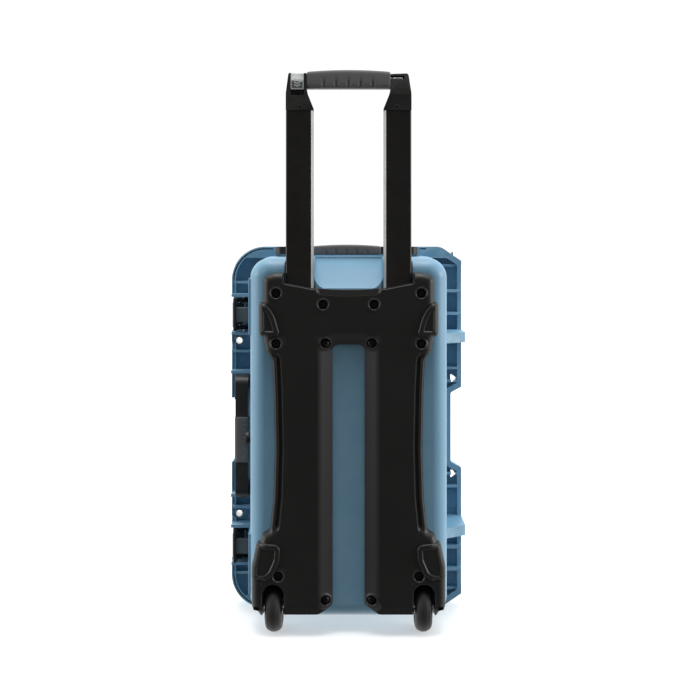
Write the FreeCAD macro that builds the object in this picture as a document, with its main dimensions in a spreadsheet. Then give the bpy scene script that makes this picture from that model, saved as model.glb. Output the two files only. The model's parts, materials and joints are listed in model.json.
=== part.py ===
import FreeCAD, Part
import math
import os
import re

# Wheeled hard equipment case, standing upright with its trolley handle pulled out.
# The design frame has X = 0 midway between the two trolley tubes, Y = 0 on the plane where the
# base and the lid meet (the base lies towards -Y, the lid towards +Y) and Z = 0 on the floor.
# Every piece is then placed by the same shift, which puts the origin at the bottom centre of
# the whole object's box.

Vector = FreeCAD.Vector
doc = FreeCAD.newDocument("equipment_case")

# ---------------------------------------------------------------------------
# Driving dimensions, in millimetres and degrees
# ---------------------------------------------------------------------------
DIMENSIONS = [
    ("case_tall", 559, "height of the case without its trolley handle"),
    ("latch_reach", 181, "outer edge of the rim on the latch side"),
    ("hinge_reach", 174.5, "outer edge of the rim on the hinge side"),
    ("seam_reach", 157, "edge of the mating flanges on the hinge side"),
    ("waist_reach", 158, "rim on the hinge side between its two brackets"),
    ("rim_corner", 52, "corner radius of the rim on the latch side"),
    ("rim_deep", 24, "depth of the base rim"),
    ("rim_wall", 6.4, "thickness of the rim's double wall"),
    ("groove_out", 2.4, "distance of the rim's groove from its edge"),
    ("groove_in", 4.2, "distance of the groove's inner side from the edge"),
    ("flange_thick", 6, "thickness of each mating flange"),
    ("seam_gap", 0.4, "gap between base and lid flanges"),
    ("shell_half", 146.5, "half width of the shells at the flange"),
    ("shell_low", 19, "underside of the shells"),
    ("shell_high", 545.5, "top of the shells"),
    ("shell_corner", 32, "corner radius of the shells"),
    ("shell_wall", 4, "wall thickness of the shells"),
    ("base_deep", 147, "depth of the base shell"),
    ("base_round", 22, "edge rounding at the back of the base"),
    ("base_draft", 1.5, "draft angle of the base walls"),
    ("lid_deep", 58, "depth of the lid shell"),
    ("lid_total", 61, "depth of the lid with its raised panels"),
    ("lid_round", 18, "edge rounding at the front of the lid"),
    ("plate_face", 165, "distance of the trolley plate's face from the seam"),
    ("plate_wall", 3.2, "wall thickness of the trolley plate"),
    ("bumper_face", 168, "distance of the corner bumpers' face from the seam"),
    ("slot_half", 23, "half width of the slot in the trolley plate"),
    ("slot_top", 418, "upper end of the slot"),
    ("tube_in", 50, "inner side of each trolley tube"),
    ("tube_out", 90, "outer side of each trolley tube"),
    ("trim_wide", 3.7, "width of the bright strip on each tube"),
    ("tube_front", 160, "rear-facing side of each tube, from the seam"),
    ("tube_back", 141, "case side of each tube, from the seam"),
    ("tube_wall", 2, "wall thickness of the tubes"),
    ("tube_low", 296, "lower end of the tubes with the handle out"),
    ("tube_high", 754, "upper end of the tubes with the handle out"),
    ("grip_low", 785.4, "underside of the trolley grip"),
    ("grip_high", 809.5, "top of the trolley grip at its ends"),
    ("grip_crown", 2.6, "extra height of the grip at its middle"),
    ("grip_half", 60, "half length of the trolley grip"),
    ("notch_pitch", 17.5, "spacing of the finger notches"),
    ("channel_gap", 2.5, "space around each tube in its channel"),
    ("channel_floor", 28, "lower end of the tube channels"),
    ("bush_gap", 0.35, "space between a tube and its guide bush"),
    ("bush_low", 440, "lower end of the guide bushes"),
    ("bush_high", 482, "upper end of the guide bushes"),
    ("scoop_half", 50, "half width of the hand scoop"),
    ("wheel_mid", 108, "distance of each wheel from the middle plane"),
    ("wheel_radius", 37.5, "wheel radius"),
    ("wheel_wide", 25, "wheel width"),
    ("wheel_back", 130, "distance of the wheel axis from the seam"),
    ("well_gap", 4.5, "space around each wheel"),
    ("well_half", 15.5, "half width of each wheel well"),
    ("axle_radius", 4, "wheel axle radius"),
    ("running_gap", 0.05, "radial clearance of pins and axles"),
    ("hinge_x", 163, "position of the lid's hinge axis"),
    ("knuckle_radius", 6.5, "hinge knuckle radius"),
    ("hinge_pin", 2.5, "hinge pin radius"),
    ("eye_x", 170.3, "distance of the padlock eyes from the middle plane"),
    ("eye_radius", 4.8, "bore radius of the padlock eyes"),
    ("eye_wall", 1.9, "wall of the steel padlock sleeves"),
    ("eye_boss", 9.5, "radius of the moulded boss round each eye"),
    ("latch_tall", 49, "size of a latch along Z"),
    ("bay_tall", 52, "size of a latch bay along Z"),
    ("side_low", 181, "lower end of the side handle"),
    ("side_high", 364.5, "upper end of the side handle"),
    ("side_pivot_x", 160, "side handle pivot, distance from the middle plane"),
    ("side_pivot_y", 34, "side handle pivot, distance from the seam"),
    ("top_mid", -3, "middle of the top handle"),
    ("top_half", 107, "half length of the top handle"),
    ("top_pivot_y", 34, "top handle pivot, distance from the seam"),
    ("top_pivot_z", 552.2, "height of the top handle pivot"),
    ("handle_pin", 2.5, "radius of the carrying handles' pins"),
]

sheet = doc.addObject("Spreadsheet::Sheet", "Dims")
for row, (alias, number, note) in enumerate(DIMENSIONS, start=1):
    sheet.set("A%d" % row, note)
    sheet.set("B%d" % row, str(number))
    sheet.setAlias("B%d" % row, alias)
doc.recompute()


def dim(alias):
    """Value of a driving dimension."""
    return float(sheet.get(alias))


# ---------------------------------------------------------------------------
# Helpers: every size is an expression on the sheet's aliases
# ---------------------------------------------------------------------------
WORD = re.compile(r"[a-z_]{3,}")


def bind(item, prop, text):
    """Tie a property to an expression written with the sheet's aliases."""
    item.setExpression(prop, WORD.sub(lambda found: "Dims." + found.group(), str(text)))


def put(item, x, y, z):
    """Tie the position of a primitive to three expressions."""
    bind(item, "Placement.Base.x", x)
    bind(item, "Placement.Base.y", y)
    bind(item, "Placement.Base.z", z)


def span(low, high):
    """Expression for the distance between two expressions."""
    return "(%s) - (%s)" % (high, low)


def box(name, xs, ys, zs):
    """Block between three pairs of expressions."""
    item = doc.addObject("Part::Box", name)
    bind(item, "Length", span(*xs))
    bind(item, "Width", span(*ys))
    bind(item, "Height", span(*zs))
    put(item, xs[0], ys[0], zs[0])
    return item


TURNS = {
    "X": FreeCAD.Rotation(Vector(0, 1, 0), 90),
    "Y": FreeCAD.Rotation(Vector(1, 0, 0), -90),
    "Z": FreeCAD.Rotation(),
}


def rod(name, along, radius, ends, at):
    """Cylinder along an axis; ends are its limits on it, at holds the two other coordinates."""
    item = doc.addObject("Part::Cylinder", name)
    item.Placement = FreeCAD.Placement(Vector(), TURNS[along])
    bind(item, "Radius", radius)
    bind(item, "Height", span(*ends))
    first, second = at
    corner = {
        "X": (ends[0], first, second),
        "Y": (first, ends[0], second),
        "Z": (first, second, ends[0]),
    }[along]
    put(item, *corner)
    return item


def fuse(name, *items):
    """Union of several objects."""
    item = doc.addObject("Part::MultiFuse", name)
    item.Shapes = list(items)
    item.Refine = True
    return item


def cut(name, base, *tools):
    """Base with every tool taken away."""
    item = doc.addObject("Part::Cut", name)
    item.Base = base
    item.Tool = tools[0] if len(tools) == 1 else fuse(name + "_tools", *tools)
    item.Refine = True
    return item


def common(name, first, second):
    """Volume that two objects share."""
    item = doc.addObject("Part::MultiCommon", name)
    item.Shapes = [first, second]
    item.Refine = True
    return item


def rounded(name, base, radius, test):
    """Round the edges of an object for which test(middle, edge) is true."""
    doc.recompute()
    item = doc.addObject("Part::Fillet", name)
    item.Base = base
    picked = []
    for number, edge in enumerate(base.Shape.Edges, start=1):
        middle = edge.BoundBox.Center
        if test(middle, edge):
            picked.append((number, radius, radius))
    item.Edges = picked
    return item


def corner_edges(points):
    """Lines and arcs of a closed outline; each point is (u, v, corner radius)."""
    starts, ends, arcs = [], [], []
    count = len(points)
    for index, (u, v, radius) in enumerate(points):
        here = Vector(u, v, 0)
        before = Vector(*points[index - 1][:2], 0) - here
        after = Vector(*points[(index + 1) % count][:2], 0) - here
        if radius <= 0:
            starts.append(here)
            ends.append(here)
            arcs.append(None)
            continue
        before.normalize()
        after.normalize()
        half = before.getAngle(after) / 2
        reach = radius / math.tan(half)
        inward = (before + after).normalize()
        centre = here + inward * (radius / math.sin(half))
        starts.append(here + before * reach)
        ends.append(here + after * reach)
        arcs.append(Part.Arc(starts[-1], centre - inward * radius, ends[-1]))
    edges = []
    for index in range(count):
        if arcs[index]:
            edges.append(arcs[index])
        following = starts[(index + 1) % count]
        if ends[index].distanceToPoint(following) > 1e-6:
            edges.append(Part.LineSegment(ends[index], following))
    return edges


def prism(name, plane, loops, start, length, taper="0"):
    """PartDesign body: outlines on an origin plane, padded from start along the plane's normal.

    The XZ plane's normal is -Y, so start and length are measured away from the seam there.
    """
    body = doc.addObject("PartDesign::Body", name)
    sketch = body.newObject("Sketcher::SketchObject", name + "_sketch")
    role = plane + "_Plane"
    base_plane = [item for item in body.Origin.OriginFeatures if item.Role == role][0]
    sketch.AttachmentSupport = [(base_plane, "")]
    sketch.MapMode = "FlatFace"
    bind(sketch, "AttachmentOffset.Base.z", start)
    for loop in loops:
        for edge in loop:
            sketch.addGeometry(edge, False)
    pad = body.newObject("PartDesign::Pad", name + "_pad")
    pad.Profile = sketch
    bind(pad, "Length", length)
    bind(pad, "TaperAngle", taper)
    body.Tip = pad
    return body


def rectangle(u_low, u_high, v_low, v_high, radius=0.0):
    """Outline of a rectangle with equal corner radii."""
    return corner_edges([
        (u_low, v_low, radius),
        (u_high, v_low, radius),
        (u_high, v_high, radius),
        (u_low, v_high, radius),
    ])


NODES = []


def node(name, *items):
    """Finished piece: its own label, and a placement that shifts it to the object's origin."""
    piece = doc.addObject("Part::Compound", name)
    piece.Label = name
    piece.Links = list(items)
    put(piece, "(latch_reach - hinge_reach) / 2", "(bumper_face - lid_total) / 2", "0")
    NODES.append(piece)
    return piece


SIDES = {"left": -1, "right": 1}


def side_span(side, low, high):
    """Pair of X expressions for a stretch at low..high from the middle, on the named side."""
    if SIDES[side] > 0:
        return (low, high)
    return ("-(%s)" % high, "-(%s)" % low)


# ---------------------------------------------------------------------------
# Base shell: tub, rim with its cells, hinge knuckles, feet, channels and wheel wells
# ---------------------------------------------------------------------------
LATCH_MIDS = {"upper": 455, "lower": 102}
LATCH_PIVOT = (-162, -15)
CLAW_PIVOT = (-168.5, -22.5)
EYE_MIDS = {"upper": 413, "lower": 144}
BASE_KNUCKLES = [(34, 57), (153, 181), (378, 406), (502, 525)]
LID_KNUCKLES = [(57.5, 80), (130, 152.5), (406.5, 429), (479, 501.5)]
HINGE_SPANS = [(8, 184), (375, 551)]
RUN = 32
KNEE = 22
BRACKETS = (217, 342)


def rim_outline(inset, hinge_edge, waist=None):
    """Outline of a rim seen along Y: large corners at the latches, angled ones at the hinge."""
    left = -dim("latch_reach") + inset
    low = inset
    high = dim("case_tall") - inset
    right = hinge_edge - inset
    corner = dim("rim_corner") - inset
    points = [
        (left, low, corner),
        (right - RUN, low, 20),
        (right, low + KNEE, 3),
    ]
    if waist:
        points += [
            (right, BRACKETS[0] - inset, 2),
            (waist - inset, BRACKETS[0] + 9 - inset, 4),
            (waist - inset, BRACKETS[1] - 9 + inset, 4),
            (right, BRACKETS[1] + inset, 2),
        ]
    points += [
        (right, high - KNEE, 3),
        (right - RUN, high, 20),
        (left, high, corner),
    ]
    return corner_edges(points)


def shell_outline(inset):
    """Rounded rectangle of the shells seen along Y."""
    half = dim("shell_half") - inset
    return rectangle(-half, half, dim("shell_low") + inset, dim("shell_high") - inset,
                     dim("shell_corner") - inset)


def at_depth(depth):
    """Edge test: the edge lies at this distance from the seam."""
    return lambda middle, edge: abs(abs(middle.y) - depth) < 0.5 and edge.BoundBox.YLength < 1


tub_block = prism("tub_block", "XZ", [shell_outline(0)], "0", "base_deep", "-base_draft")
tub_outer = rounded("tub_outer", tub_block, dim("base_round"), at_depth(dim("base_deep")))
tub_room_block = prism("tub_room_block", "XZ", [shell_outline(dim("shell_wall"))], "-1",
                       "base_deep - shell_wall + 1", "-base_draft")
tub_room = rounded("tub_room", tub_room_block, dim("base_round") - dim("shell_wall"),
                   at_depth(dim("base_deep") - dim("shell_wall")))

seam_flange = prism("seam_flange", "XZ", [rim_outline(0, dim("seam_reach"))], "0", "flange_thick")
rim_solid = prism("rim_solid", "XZ",
                  [rim_outline(0, dim("hinge_reach"), dim("waist_reach"))],
                  "flange_thick", "rim_deep - flange_thick")
rim_hollow = prism("rim_hollow", "XZ",
                   [rim_outline(dim("rim_wall"), dim("hinge_reach"), dim("waist_reach"))],
                   "flange_thick + 5", "rim_deep")
rim_middle = box("rim_middle", ("-case_tall", "case_tall"), ("-case_tall", "0"),
                 ("shell_low", "shell_high - 4"))
rim_channel = common("rim_channel", rim_hollow, rim_middle)
groove_outer = prism("rim_groove_outer", "XZ", [rim_outline(dim("groove_out"), dim("hinge_reach"))],
                     "flange_thick + 4", "rim_deep")
groove_inner = prism("rim_groove_inner", "XZ", [rim_outline(dim("groove_in"), dim("hinge_reach"))],
                     "flange_thick + 3", "rim_deep + 2")
groove_side = box("rim_groove_side", ("-case_tall", "120"), ("-case_tall", "0"), ("-5", "case_tall + 5"))
rim_groove = common("rim_groove", cut("rim_groove_ring", groove_outer, groove_inner), groove_side)
rim_ring = cut("rim_ring", rim_solid, rim_channel, rim_groove)

# Thicker cladding on the latch side, beside each latch
cladding_block = prism("cladding_block", "XZ", [shell_outline(-3)], "0", "base_deep", "-base_draft")
cladding_round = rounded("cladding_round", cladding_block, dim("base_round"), at_depth(dim("base_deep")))
cladding_zones = fuse("cladding_zones", *[
    box("cladding_zone_%d" % index, (-160, -118), (-130, -3), zone)
    for index, zone in enumerate(((52, 140), (430, 512)))
])
cladding = common("cladding", cladding_round, cladding_zones)

# Ribs across the rim channel: (lower Z, upper Z, depth from the seam)
LATCH_RIBS = [
    (52, 56, 23), (70.5, 75, 40), (129, 133.5, 46), (155, 159, 30), (176, 180.5, 46),
    (365, 369.5, 46), (396, 399.5, 30), (423.5, 428, 40), (482, 486.5, 40), (502, 506, 23),
]
HINGE_RIBS = [
    (28, 32, 22), (59, 64, 30), (93, 98, 30), (186, 190, 24), (206, 210, 24),
    (349, 353, 24), (369, 373, 24), (453.5, 458, 30), (488.5, 493, 30), (528, 532, 22),
]
ribs = []
for index, (low, high, depth) in enumerate(LATCH_RIBS):
    ribs.append(box("latch_rib_%d" % index, ("-latch_reach + 1", "-shell_half + 6"),
                    (-depth, "-flange_thick - 1"), (low, high)))
for index, (low, high, depth) in enumerate(HINGE_RIBS):
    ribs.append(box("hinge_rib_%d" % index, ("shell_half - 6", "hinge_reach - 1"),
                    (-depth, "-flange_thick - 1"), (low, high)))

# Two tapered feet on the hinge side, on which the case can lie
FOOT_SPANS = {"lower": (128, 143), "upper": (416, 431)}
feet = []
for label, (low, high) in FOOT_SPANS.items():
    reach = dim("hinge_reach")
    outline = corner_edges([
        (138, -8, 0), (reach, -8, 0), (reach, -86, 3), (166, -93, 6), (138, -112, 0),
    ])
    feet.append(prism("foot_" + label, "XY", [outline], str(low), str(high - low)))

# Hinge knuckles of the base, each on a block that grows out of the rim
knuckles = []
for index, (low, high) in enumerate(BASE_KNUCKLES):
    knuckles.append(rod("knuckle_%d" % index, "Z", "knuckle_radius", (low, high), ("hinge_x", 0)))
    knuckles.append(box("knuckle_root_%d" % index, ("hinge_x - knuckle_radius", "hinge_x + knuckle_radius"),
                        (-12, -3), (low, high)))

# Ears that carry the two carrying handles, and bosses round the padlock eyes
ears = []
for low, high in (("top_mid - top_half - 6", "top_mid - top_half - 0.6"),
                  ("top_mid + top_half + 0.6", "top_mid + top_half + 6")):
    ears.append(box("top_ear", (low, high), ("-top_pivot_y - 7", "-flange_thick - 1"),
                    ("shell_high - 6", "top_pivot_z + 6")))
for label, middle in EYE_MIDS.items():
    ears.append(rod("eye_boss_" + label, "Y", "eye_boss", ("-14", "0"), ("-eye_x", middle)))
    ears.append(box("eye_web_" + label, ("-latch_reach + 1", "-shell_half + 6"),
                    ("-13", "-flange_thick - 1"), (middle - 12, middle + 12)))

# Keeper blocks that carry the latch pins at the ends of each latch bay
for label, middle in LATCH_MIDS.items():
    for index, edge in enumerate((middle - 27, middle + 27)):
        low = edge - 5 if index == 0 else edge + 0.3
        ears.append(box("latch_ear_%s_%d" % (label, index), ("-latch_reach + 4.5", "-shell_half + 4"),
                        ("-24", "-flange_thick - 1"), (low, low + 4.7)))

shell_body = fuse("shell_body", tub_outer, cladding, seam_flange, rim_ring, *ribs, *feet, *knuckles, *ears)
shell_open = cut("shell_open", shell_body, tub_room)


def channel(name, side, space, low, deep, high="case_tall + 5"):
    """Room round a trolley tube, larger than the tube by space."""
    return box(name, side_span(side, "tube_in - %s" % space, "tube_out + %s" % space),
               ("-case_tall" if deep else "-tube_front - %s" % space, "-tube_back + %s" % space),
               (low, high))


def well(name, side, grow):
    """Arched room round a wheel, open downwards and to the back; grow thickens it to a housing."""
    xs = side_span(side, "wheel_mid - well_half - %s" % grow, "wheel_mid + well_half + %s" % grow)
    reach = "(wheel_radius + well_gap + %s)" % grow
    arch = rod(name + "_arch", "X", reach, xs, ("-wheel_back", "wheel_radius"))
    back = box(name + "_back", xs, ("-wheel_back - 60", "-wheel_back"), (-5, "wheel_radius + " + reach))
    under = box(name + "_under", xs, ("-wheel_back - 60", "-wheel_back + " + reach), (-5, "wheel_radius"))
    return fuse(name, arch, back, under)


def scoop(name, grow):
    """Sloped hand recess between the tubes, grown by the same distance for its housing."""
    half = dim("scoop_half") + grow
    front = prism(name + "_front", "XZ", [corner_edges([
        (-half, 497 - grow, 22), (half, 497 - grow, 22), (half, 570, 0), (-half, 570, 0)])],
        "40", "140")
    slope = prism(name + "_slope", "YZ", [corner_edges([
        (-66 + grow, 570, 0), (-66 + grow, 541 - grow, 0), (-70 + grow, 537 - grow, 0),
        (-150 + grow, 497 - grow, 0), (-180, 482 - grow, 0), (-180, 570, 0)])],
        "-scoop_half - %s" % (grow + 1), "2 * scoop_half + %s" % (2 * grow + 2))
    return common(name, front, slope)


housings = [scoop("scoop_housing", 3.5)]
hollows = [scoop("scoop_room", 0)]
for side in SIDES:
    housings.append(channel("channel_housing_" + side, side, "(channel_gap + 3)",
                            "channel_floor - 3", True))
    hollows.append(channel("channel_room_" + side, side, "channel_gap", "channel_floor", True))
    housings.append(well("well_housing_" + side, side, 3.5))
    hollows.append(well("well_room_" + side, side, 0))
inner_walls = common("inner_walls", tub_outer, fuse("all_housings", *housings))
shell_walled = fuse("shell_walled", shell_open, inner_walls)

openings = list(hollows)
for label, middle in LATCH_MIDS.items():
    openings.append(box("latch_bay_" + label, ("-latch_reach - 1", "-shell_half - 3.5"),
                        ("-rim_deep - 40", "1"),
                        ("%s - bay_tall / 2" % middle, "%s + bay_tall / 2" % middle)))
    openings.append(rod("latch_pin_bore_" + label, "Z", "hinge_pin + running_gap",
                        (middle - 33, middle + 33), LATCH_PIVOT))
for label, middle in EYE_MIDS.items():
    openings.append(rod("eye_bore_" + label, "Y", "eye_radius + eye_wall", ("-rim_deep - 1", "1"),
                        ("-eye_x", middle)))
scallop = prism("finger_scallop", "XZ", [corner_edges([
    (-190, 222, 0), (-182.5, 224, 4), (-168, 234, 8), (-168, 317, 8), (-182.5, 327, 4), (-190, 329, 0)])],
    "-20", "60")
openings.append(scallop)
for index, (low, high) in enumerate(((198, 211), (348, 361))):
    tip = low if index == 0 else high
    blunt = high if index == 0 else low
    openings.append(prism("bracket_eye_%d" % index, "XZ", [corner_edges([
        (158.8, tip, 1), (168, (tip + blunt) / 2, 2), (162, blunt, 2), (158.8, blunt, 1)])], "-2", "40"))
for index, (low, high) in enumerate(LID_KNUCKLES):
    openings.append(rod("knuckle_relief_%d" % index, "Z", "knuckle_radius + 0.9",
                        (low - 0.5, high + 0.5), ("hinge_x", 0)))
for index, ends in enumerate(HINGE_SPANS):
    openings.append(rod("hinge_bore_%d" % index, "Z", "hinge_pin + running_gap", ends,
                        ("hinge_x", 0)))
for side in SIDES:
    openings.append(rod("axle_bore_" + side, "X", "axle_radius + running_gap",
                        side_span(side, "wheel_mid - 20", "wheel_mid + 24"),
                        ("-wheel_back", "wheel_radius")))
openings.append(rod("side_pin_bore", "Z", "handle_pin + running_gap",
                    ("side_low - 10", "side_high + 10"), ("-side_pivot_x", "-side_pivot_y")))
openings.append(rod("top_pin_bore", "X", "handle_pin + running_gap",
                    ("top_mid - top_half - 9", "top_mid + top_half + 9"),
                    ("-top_pivot_y", "top_pivot_z")))
openings.append(rod("valve_bore", "X", "7", ("-160", "-130"), ("-104", "275")))
base_whole = cut("base_whole", shell_walled, *openings)


def eye_blocks(name, ys):
    """Blocks of rim round both padlock eyes; the rim is divided there, so each eye is its own piece."""
    return fuse(name, *[box("%s_%s" % (name, label), ("-latch_reach - 1", "-shell_half - 4"), ys,
                            (middle - 9.8, middle + 9.8))
                        for label, middle in EYE_MIDS.items()])


base_eye_blocks = eye_blocks("base_eye_blocks", ("-rim_deep - 1", "1"))
node("base_shell", cut("base_shell_solid", base_whole, base_eye_blocks))
node("padlock_eyes_base", common("base_eyes", base_whole, base_eye_blocks))


# ---------------------------------------------------------------------------
# Trolley plate: hollow cover screwed to the back of the base, with its screws and bumpers
# ---------------------------------------------------------------------------
def plate_outline(inset):
    """Waisted outline of the plate; the right half is written out and mirrored."""
    half = [
        (23 + inset, 45, 6), (44, 33 + inset, 10), (92 - inset, 33 + inset, 0),
        (92 - inset, 70, 0), (124 + inset, 70, 0),
        (124 + inset, 33 + inset, 0), (139 - inset, 41 + inset, 6),
        (139 - inset, 88, 8), (124 - inset, 142, 14), (111.5 - inset, 158, 30),
        (106.5 - inset, 240, 60), (107 - inset, 340, 60), (111 - inset, 405, 6),
        (120 - inset, 412, 6), (128 - inset, 452, 8), (122.5 - inset, 512, 0),
        (119 - inset, 520 - inset, 8), (90, 520 - inset, 0), (88, 504 - inset, 0),
        (53.5, 498 - inset, 6), (42, 489 - inset, 6),
    ]
    slot = [(dim("slot_half") + inset, dim("slot_top") + inset, 8)]
    right = half
    left = [(-u, v, radius) for u, v, radius in reversed(half)]
    slot_right = slot
    slot_left = [(-u, v, radius) for u, v, radius in slot]
    return corner_edges(right + left + slot_left + slot_right)


plate_side = "base_deep"
plate_block = prism("plate_block", "XZ", [plate_outline(0)], plate_side, "plate_face - base_deep - 7")
plate_front = prism("plate_front", "XZ", [plate_outline(0)], "plate_face - 7", "7", "-40")
plate_solid = fuse("plate_solid", plate_block, plate_front)
plate_rooms = []
for side in SIDES:
    plate_rooms.append(channel("plate_room_" + side, side, "channel_gap", "channel_floor + 10", False))
    plate_rooms.append(box("plate_top_room_" + side, side_span(side, "tube_out + 5", "tube_out + 24"),
                           ("-plate_face + plate_wall + 4", "-base_deep + 1"), (440, 510)))
    plate_rooms.append(box("plate_low_room_" + side, side_span(side, "tube_out + 5.5", "tube_out + 13"),
                           ("-plate_face + plate_wall + 4", "-base_deep + 1"), (150, 400)))
    plate_rooms.append(well("plate_well_" + side, side, 0))

# Places of the screws: (distance from the middle, height)
SCREW_PLACES = [(103.8, 492), (36.4, 476), (103.6, 420), (33.3, 420.5), (100.6, 88), (33.4, 52.5)]
screws = []
recesses = []
for index, (across, height) in enumerate(SCREW_PLACES):
    for side, sign in SIDES.items():
        label = "%s_%d" % (side, index)
        recesses.append(rod("recess_" + label, "Y", "7", ("-plate_face - 1", "-plate_face + 5"),
                            (sign * across, height)))
        head = rod("screw_head_" + label, "Y", "5.6", ("-plate_face + 1.8", "-plate_face + 5"),
                   (sign * across, height))
        shank = rod("screw_shank_" + label, "Y", "1.9", ("-plate_face + 5", "-base_deep"),
                    (sign * across, height))
        recesses.append(rod("shank_bore_" + label, "Y", "2", ("-plate_face + 4", "-base_deep + 1"),
                            (sign * across, height)))
        socket = rod("screw_socket_" + label, "Y", "2.4", ("-plate_face + 1", "-plate_face + 3.6"),
                     (sign * across, height))
        screws.append(cut("screw_" + label, fuse("screw_solid_" + label, head, shank), socket))

BUMPER_OUTLINES = {
    "upper": [(97.5, 430, 4), (118, 430, 2), (128.6, 444, 10), (128.6, 478, 3), (116, 480, 5),
              (110, 448, 30)],
    "lower": [(98, 136, 3), (104, 112, 40), (112, 84, 14), (135, 82, 4), (138, 90, 6),
              (137, 100, 20), (126, 136, 3)],
}
bumpers = {}
for label, points in BUMPER_OUTLINES.items():
    for side, sign in SIDES.items():
        outline = [(sign * u, v, radius) for u, v, radius in points]
        bumpers[label, side] = prism("bumper_pad_%s_%s" % (label, side), "XZ", [corner_edges(outline)],
                                     "plate_face - 8", "bumper_face - plate_face + 8")
trolley_plate = cut("trolley_plate_solid", plate_solid, *plate_rooms, *recesses, *bumpers.values())
node("trolley_plate", trolley_plate)
node("plate_screws", *screws)
for (label, side), pad in bumpers.items():
    node("bumper_%s_%s" % (label, side), pad)

# ---------------------------------------------------------------------------
# Steel pins, sleeves, guide bushes and the pressure valve, all fixed to the base
# ---------------------------------------------------------------------------
node("hinge_pins", *[rod("hinge_rod_%d" % index, "Z", "hinge_pin", ends, ("hinge_x", 0))
                     for index, ends in enumerate(HINGE_SPANS)])
node("latch_pins", *[rod("latch_rod_" + label, "Z", "hinge_pin", (middle - 31.5, middle + 31.5), LATCH_PIVOT)
                     for label, middle in LATCH_MIDS.items()])
side_pins = [
    rod("side_pin_%d" % index, "Z", "handle_pin", ends, ("-side_pivot_x", "-side_pivot_y"))
    for index, ends in enumerate((("side_low - 4", "side_low + 14"), ("side_high - 14", "side_high + 4")))
]
node("side_handle_pins", *side_pins)
top_pins = [
    rod("top_pin_%d" % index, "X", "handle_pin", ends, ("-top_pivot_y", "top_pivot_z"))
    for index, ends in enumerate((("top_mid - top_half - 5.5", "top_mid - top_half + 13"),
                                  ("top_mid + top_half - 13", "top_mid + top_half + 5.5")))
]
node("top_handle_pins", *top_pins)


def sleeve(name, middle, ends):
    """Steel sleeve that lines a padlock eye."""
    outer = rod(name + "_outer", "Y", "eye_radius + eye_wall", ends, ("-eye_x", middle))
    inner = rod(name + "_inner", "Y", "eye_radius", ("-30", "30"), ("-eye_x", middle))
    return cut(name, outer, inner)


node("padlock_sleeves_base", *[sleeve("base_sleeve_" + label, middle, ("-14.6", "-0.1"))
                               for label, middle in EYE_MIDS.items()])

for side in SIDES:
    xs = side_span(side, "tube_in - channel_gap", "tube_out + channel_gap")
    ys = ("-tube_front - channel_gap", "-tube_back + channel_gap")
    block = box("bush_block_" + side, xs, ys, ("bush_low", "bush_high"))
    room = channel("bush_room_" + side, side, "bush_gap", "bush_low - 5", False)
    node("guide_bush_" + side, cut("bush_" + side, block, room))
    axle = rod("axle_rod_" + side, "X", "axle_radius",
               side_span(side, "wheel_mid - 18.5", "wheel_mid + 18.5"), ("-wheel_back", "wheel_radius"))
    node("axle_" + side, axle)

valve_stem = rod("valve_stem", "X", "6.9", ("-151.5", "-135.5"), ("-104", "275"))
valve_cap = rod("valve_cap", "X", "11", ("-151.5", "-146.7"), ("-104", "275"))
node("pressure_valve", fuse("valve_solid", valve_stem, valve_cap))

# ---------------------------------------------------------------------------
# Lid: shell with raised panels, gasket, sleeves
# ---------------------------------------------------------------------------
lid_block = prism("lid_block", "XZ", [shell_outline(0)], "-lid_deep", "lid_deep - seam_gap")
lid_outer = rounded("lid_outer", lid_block, dim("lid_round"), at_depth(dim("lid_deep")))
lid_room_block = prism("lid_room_block", "XZ", [shell_outline(dim("shell_wall"))],
                       "-lid_deep + shell_wall", "lid_deep - shell_wall + 1")
lid_room = rounded("lid_room", lid_room_block, dim("lid_round") - dim("shell_wall"),
                   at_depth(dim("lid_deep") - dim("shell_wall")))
lid_flange = prism("lid_flange", "XZ", [rim_outline(0, dim("seam_reach"))],
                   "-seam_gap - flange_thick", "flange_thick")
lid_rim_solid = prism("lid_rim_solid", "XZ", [rim_outline(0, dim("seam_reach"))],
                      "-seam_gap - 14", "8.5")
lid_rim_channel = prism("lid_rim_channel", "XZ", [rim_outline(3.6, dim("seam_reach"))],
                        "-seam_gap - 15", "10")
lid_ring = cut("lid_ring", lid_rim_solid, lid_rim_channel)
lid_parts = [lid_outer, lid_flange, lid_ring]
for index, place in enumerate((-104, -52, 52, 104)):
    panel = prism("lid_panel_%d" % index, "XZ",
                  [rectangle(place - 16, place + 16, 70, 489, 12)], "-lid_total", "lid_total - lid_deep + 1")
    lid_parts.append(panel)
for index, (low, high) in enumerate(LID_KNUCKLES):
    lid_parts.append(rod("lid_knuckle_%d" % index, "Z", "knuckle_radius", (low, high), ("hinge_x", 0)))
    lid_parts.append(box("lid_knuckle_arm_%d" % index, ("shell_half", "hinge_x"), ("seam_gap", "6.4"),
                         (low, high)))
for label, middle in EYE_MIDS.items():
    lid_parts.append(rod("lid_eye_boss_" + label, "Y", "eye_boss", ("seam_gap", "13"), ("-eye_x", middle)))
lid_body = fuse("lid_body", *lid_parts)
lid_catches = [box("lid_catch_" + label, (-169, -161), ("seam_gap + 1", "14.4"), (middle - 17, middle + 17))
               for label, middle in LATCH_MIDS.items()]
gasket_outer = prism("gasket_outer", "XZ", [shell_outline(-4.8)], "-seam_gap - 4", "3.9")
gasket_inner = prism("gasket_inner", "XZ", [shell_outline(-0.3)], "-seam_gap - 5", "6")
gasket_groove = prism("gasket_groove", "XZ", [shell_outline(-5)], "-seam_gap - 4.1", "4.5")
gasket_land = prism("gasket_land", "XZ", [shell_outline(-0.1)], "-seam_gap - 5", "6")
groove = cut("groove", gasket_groove, gasket_land)
lid_tools = [lid_room, groove, scallop]
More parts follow.
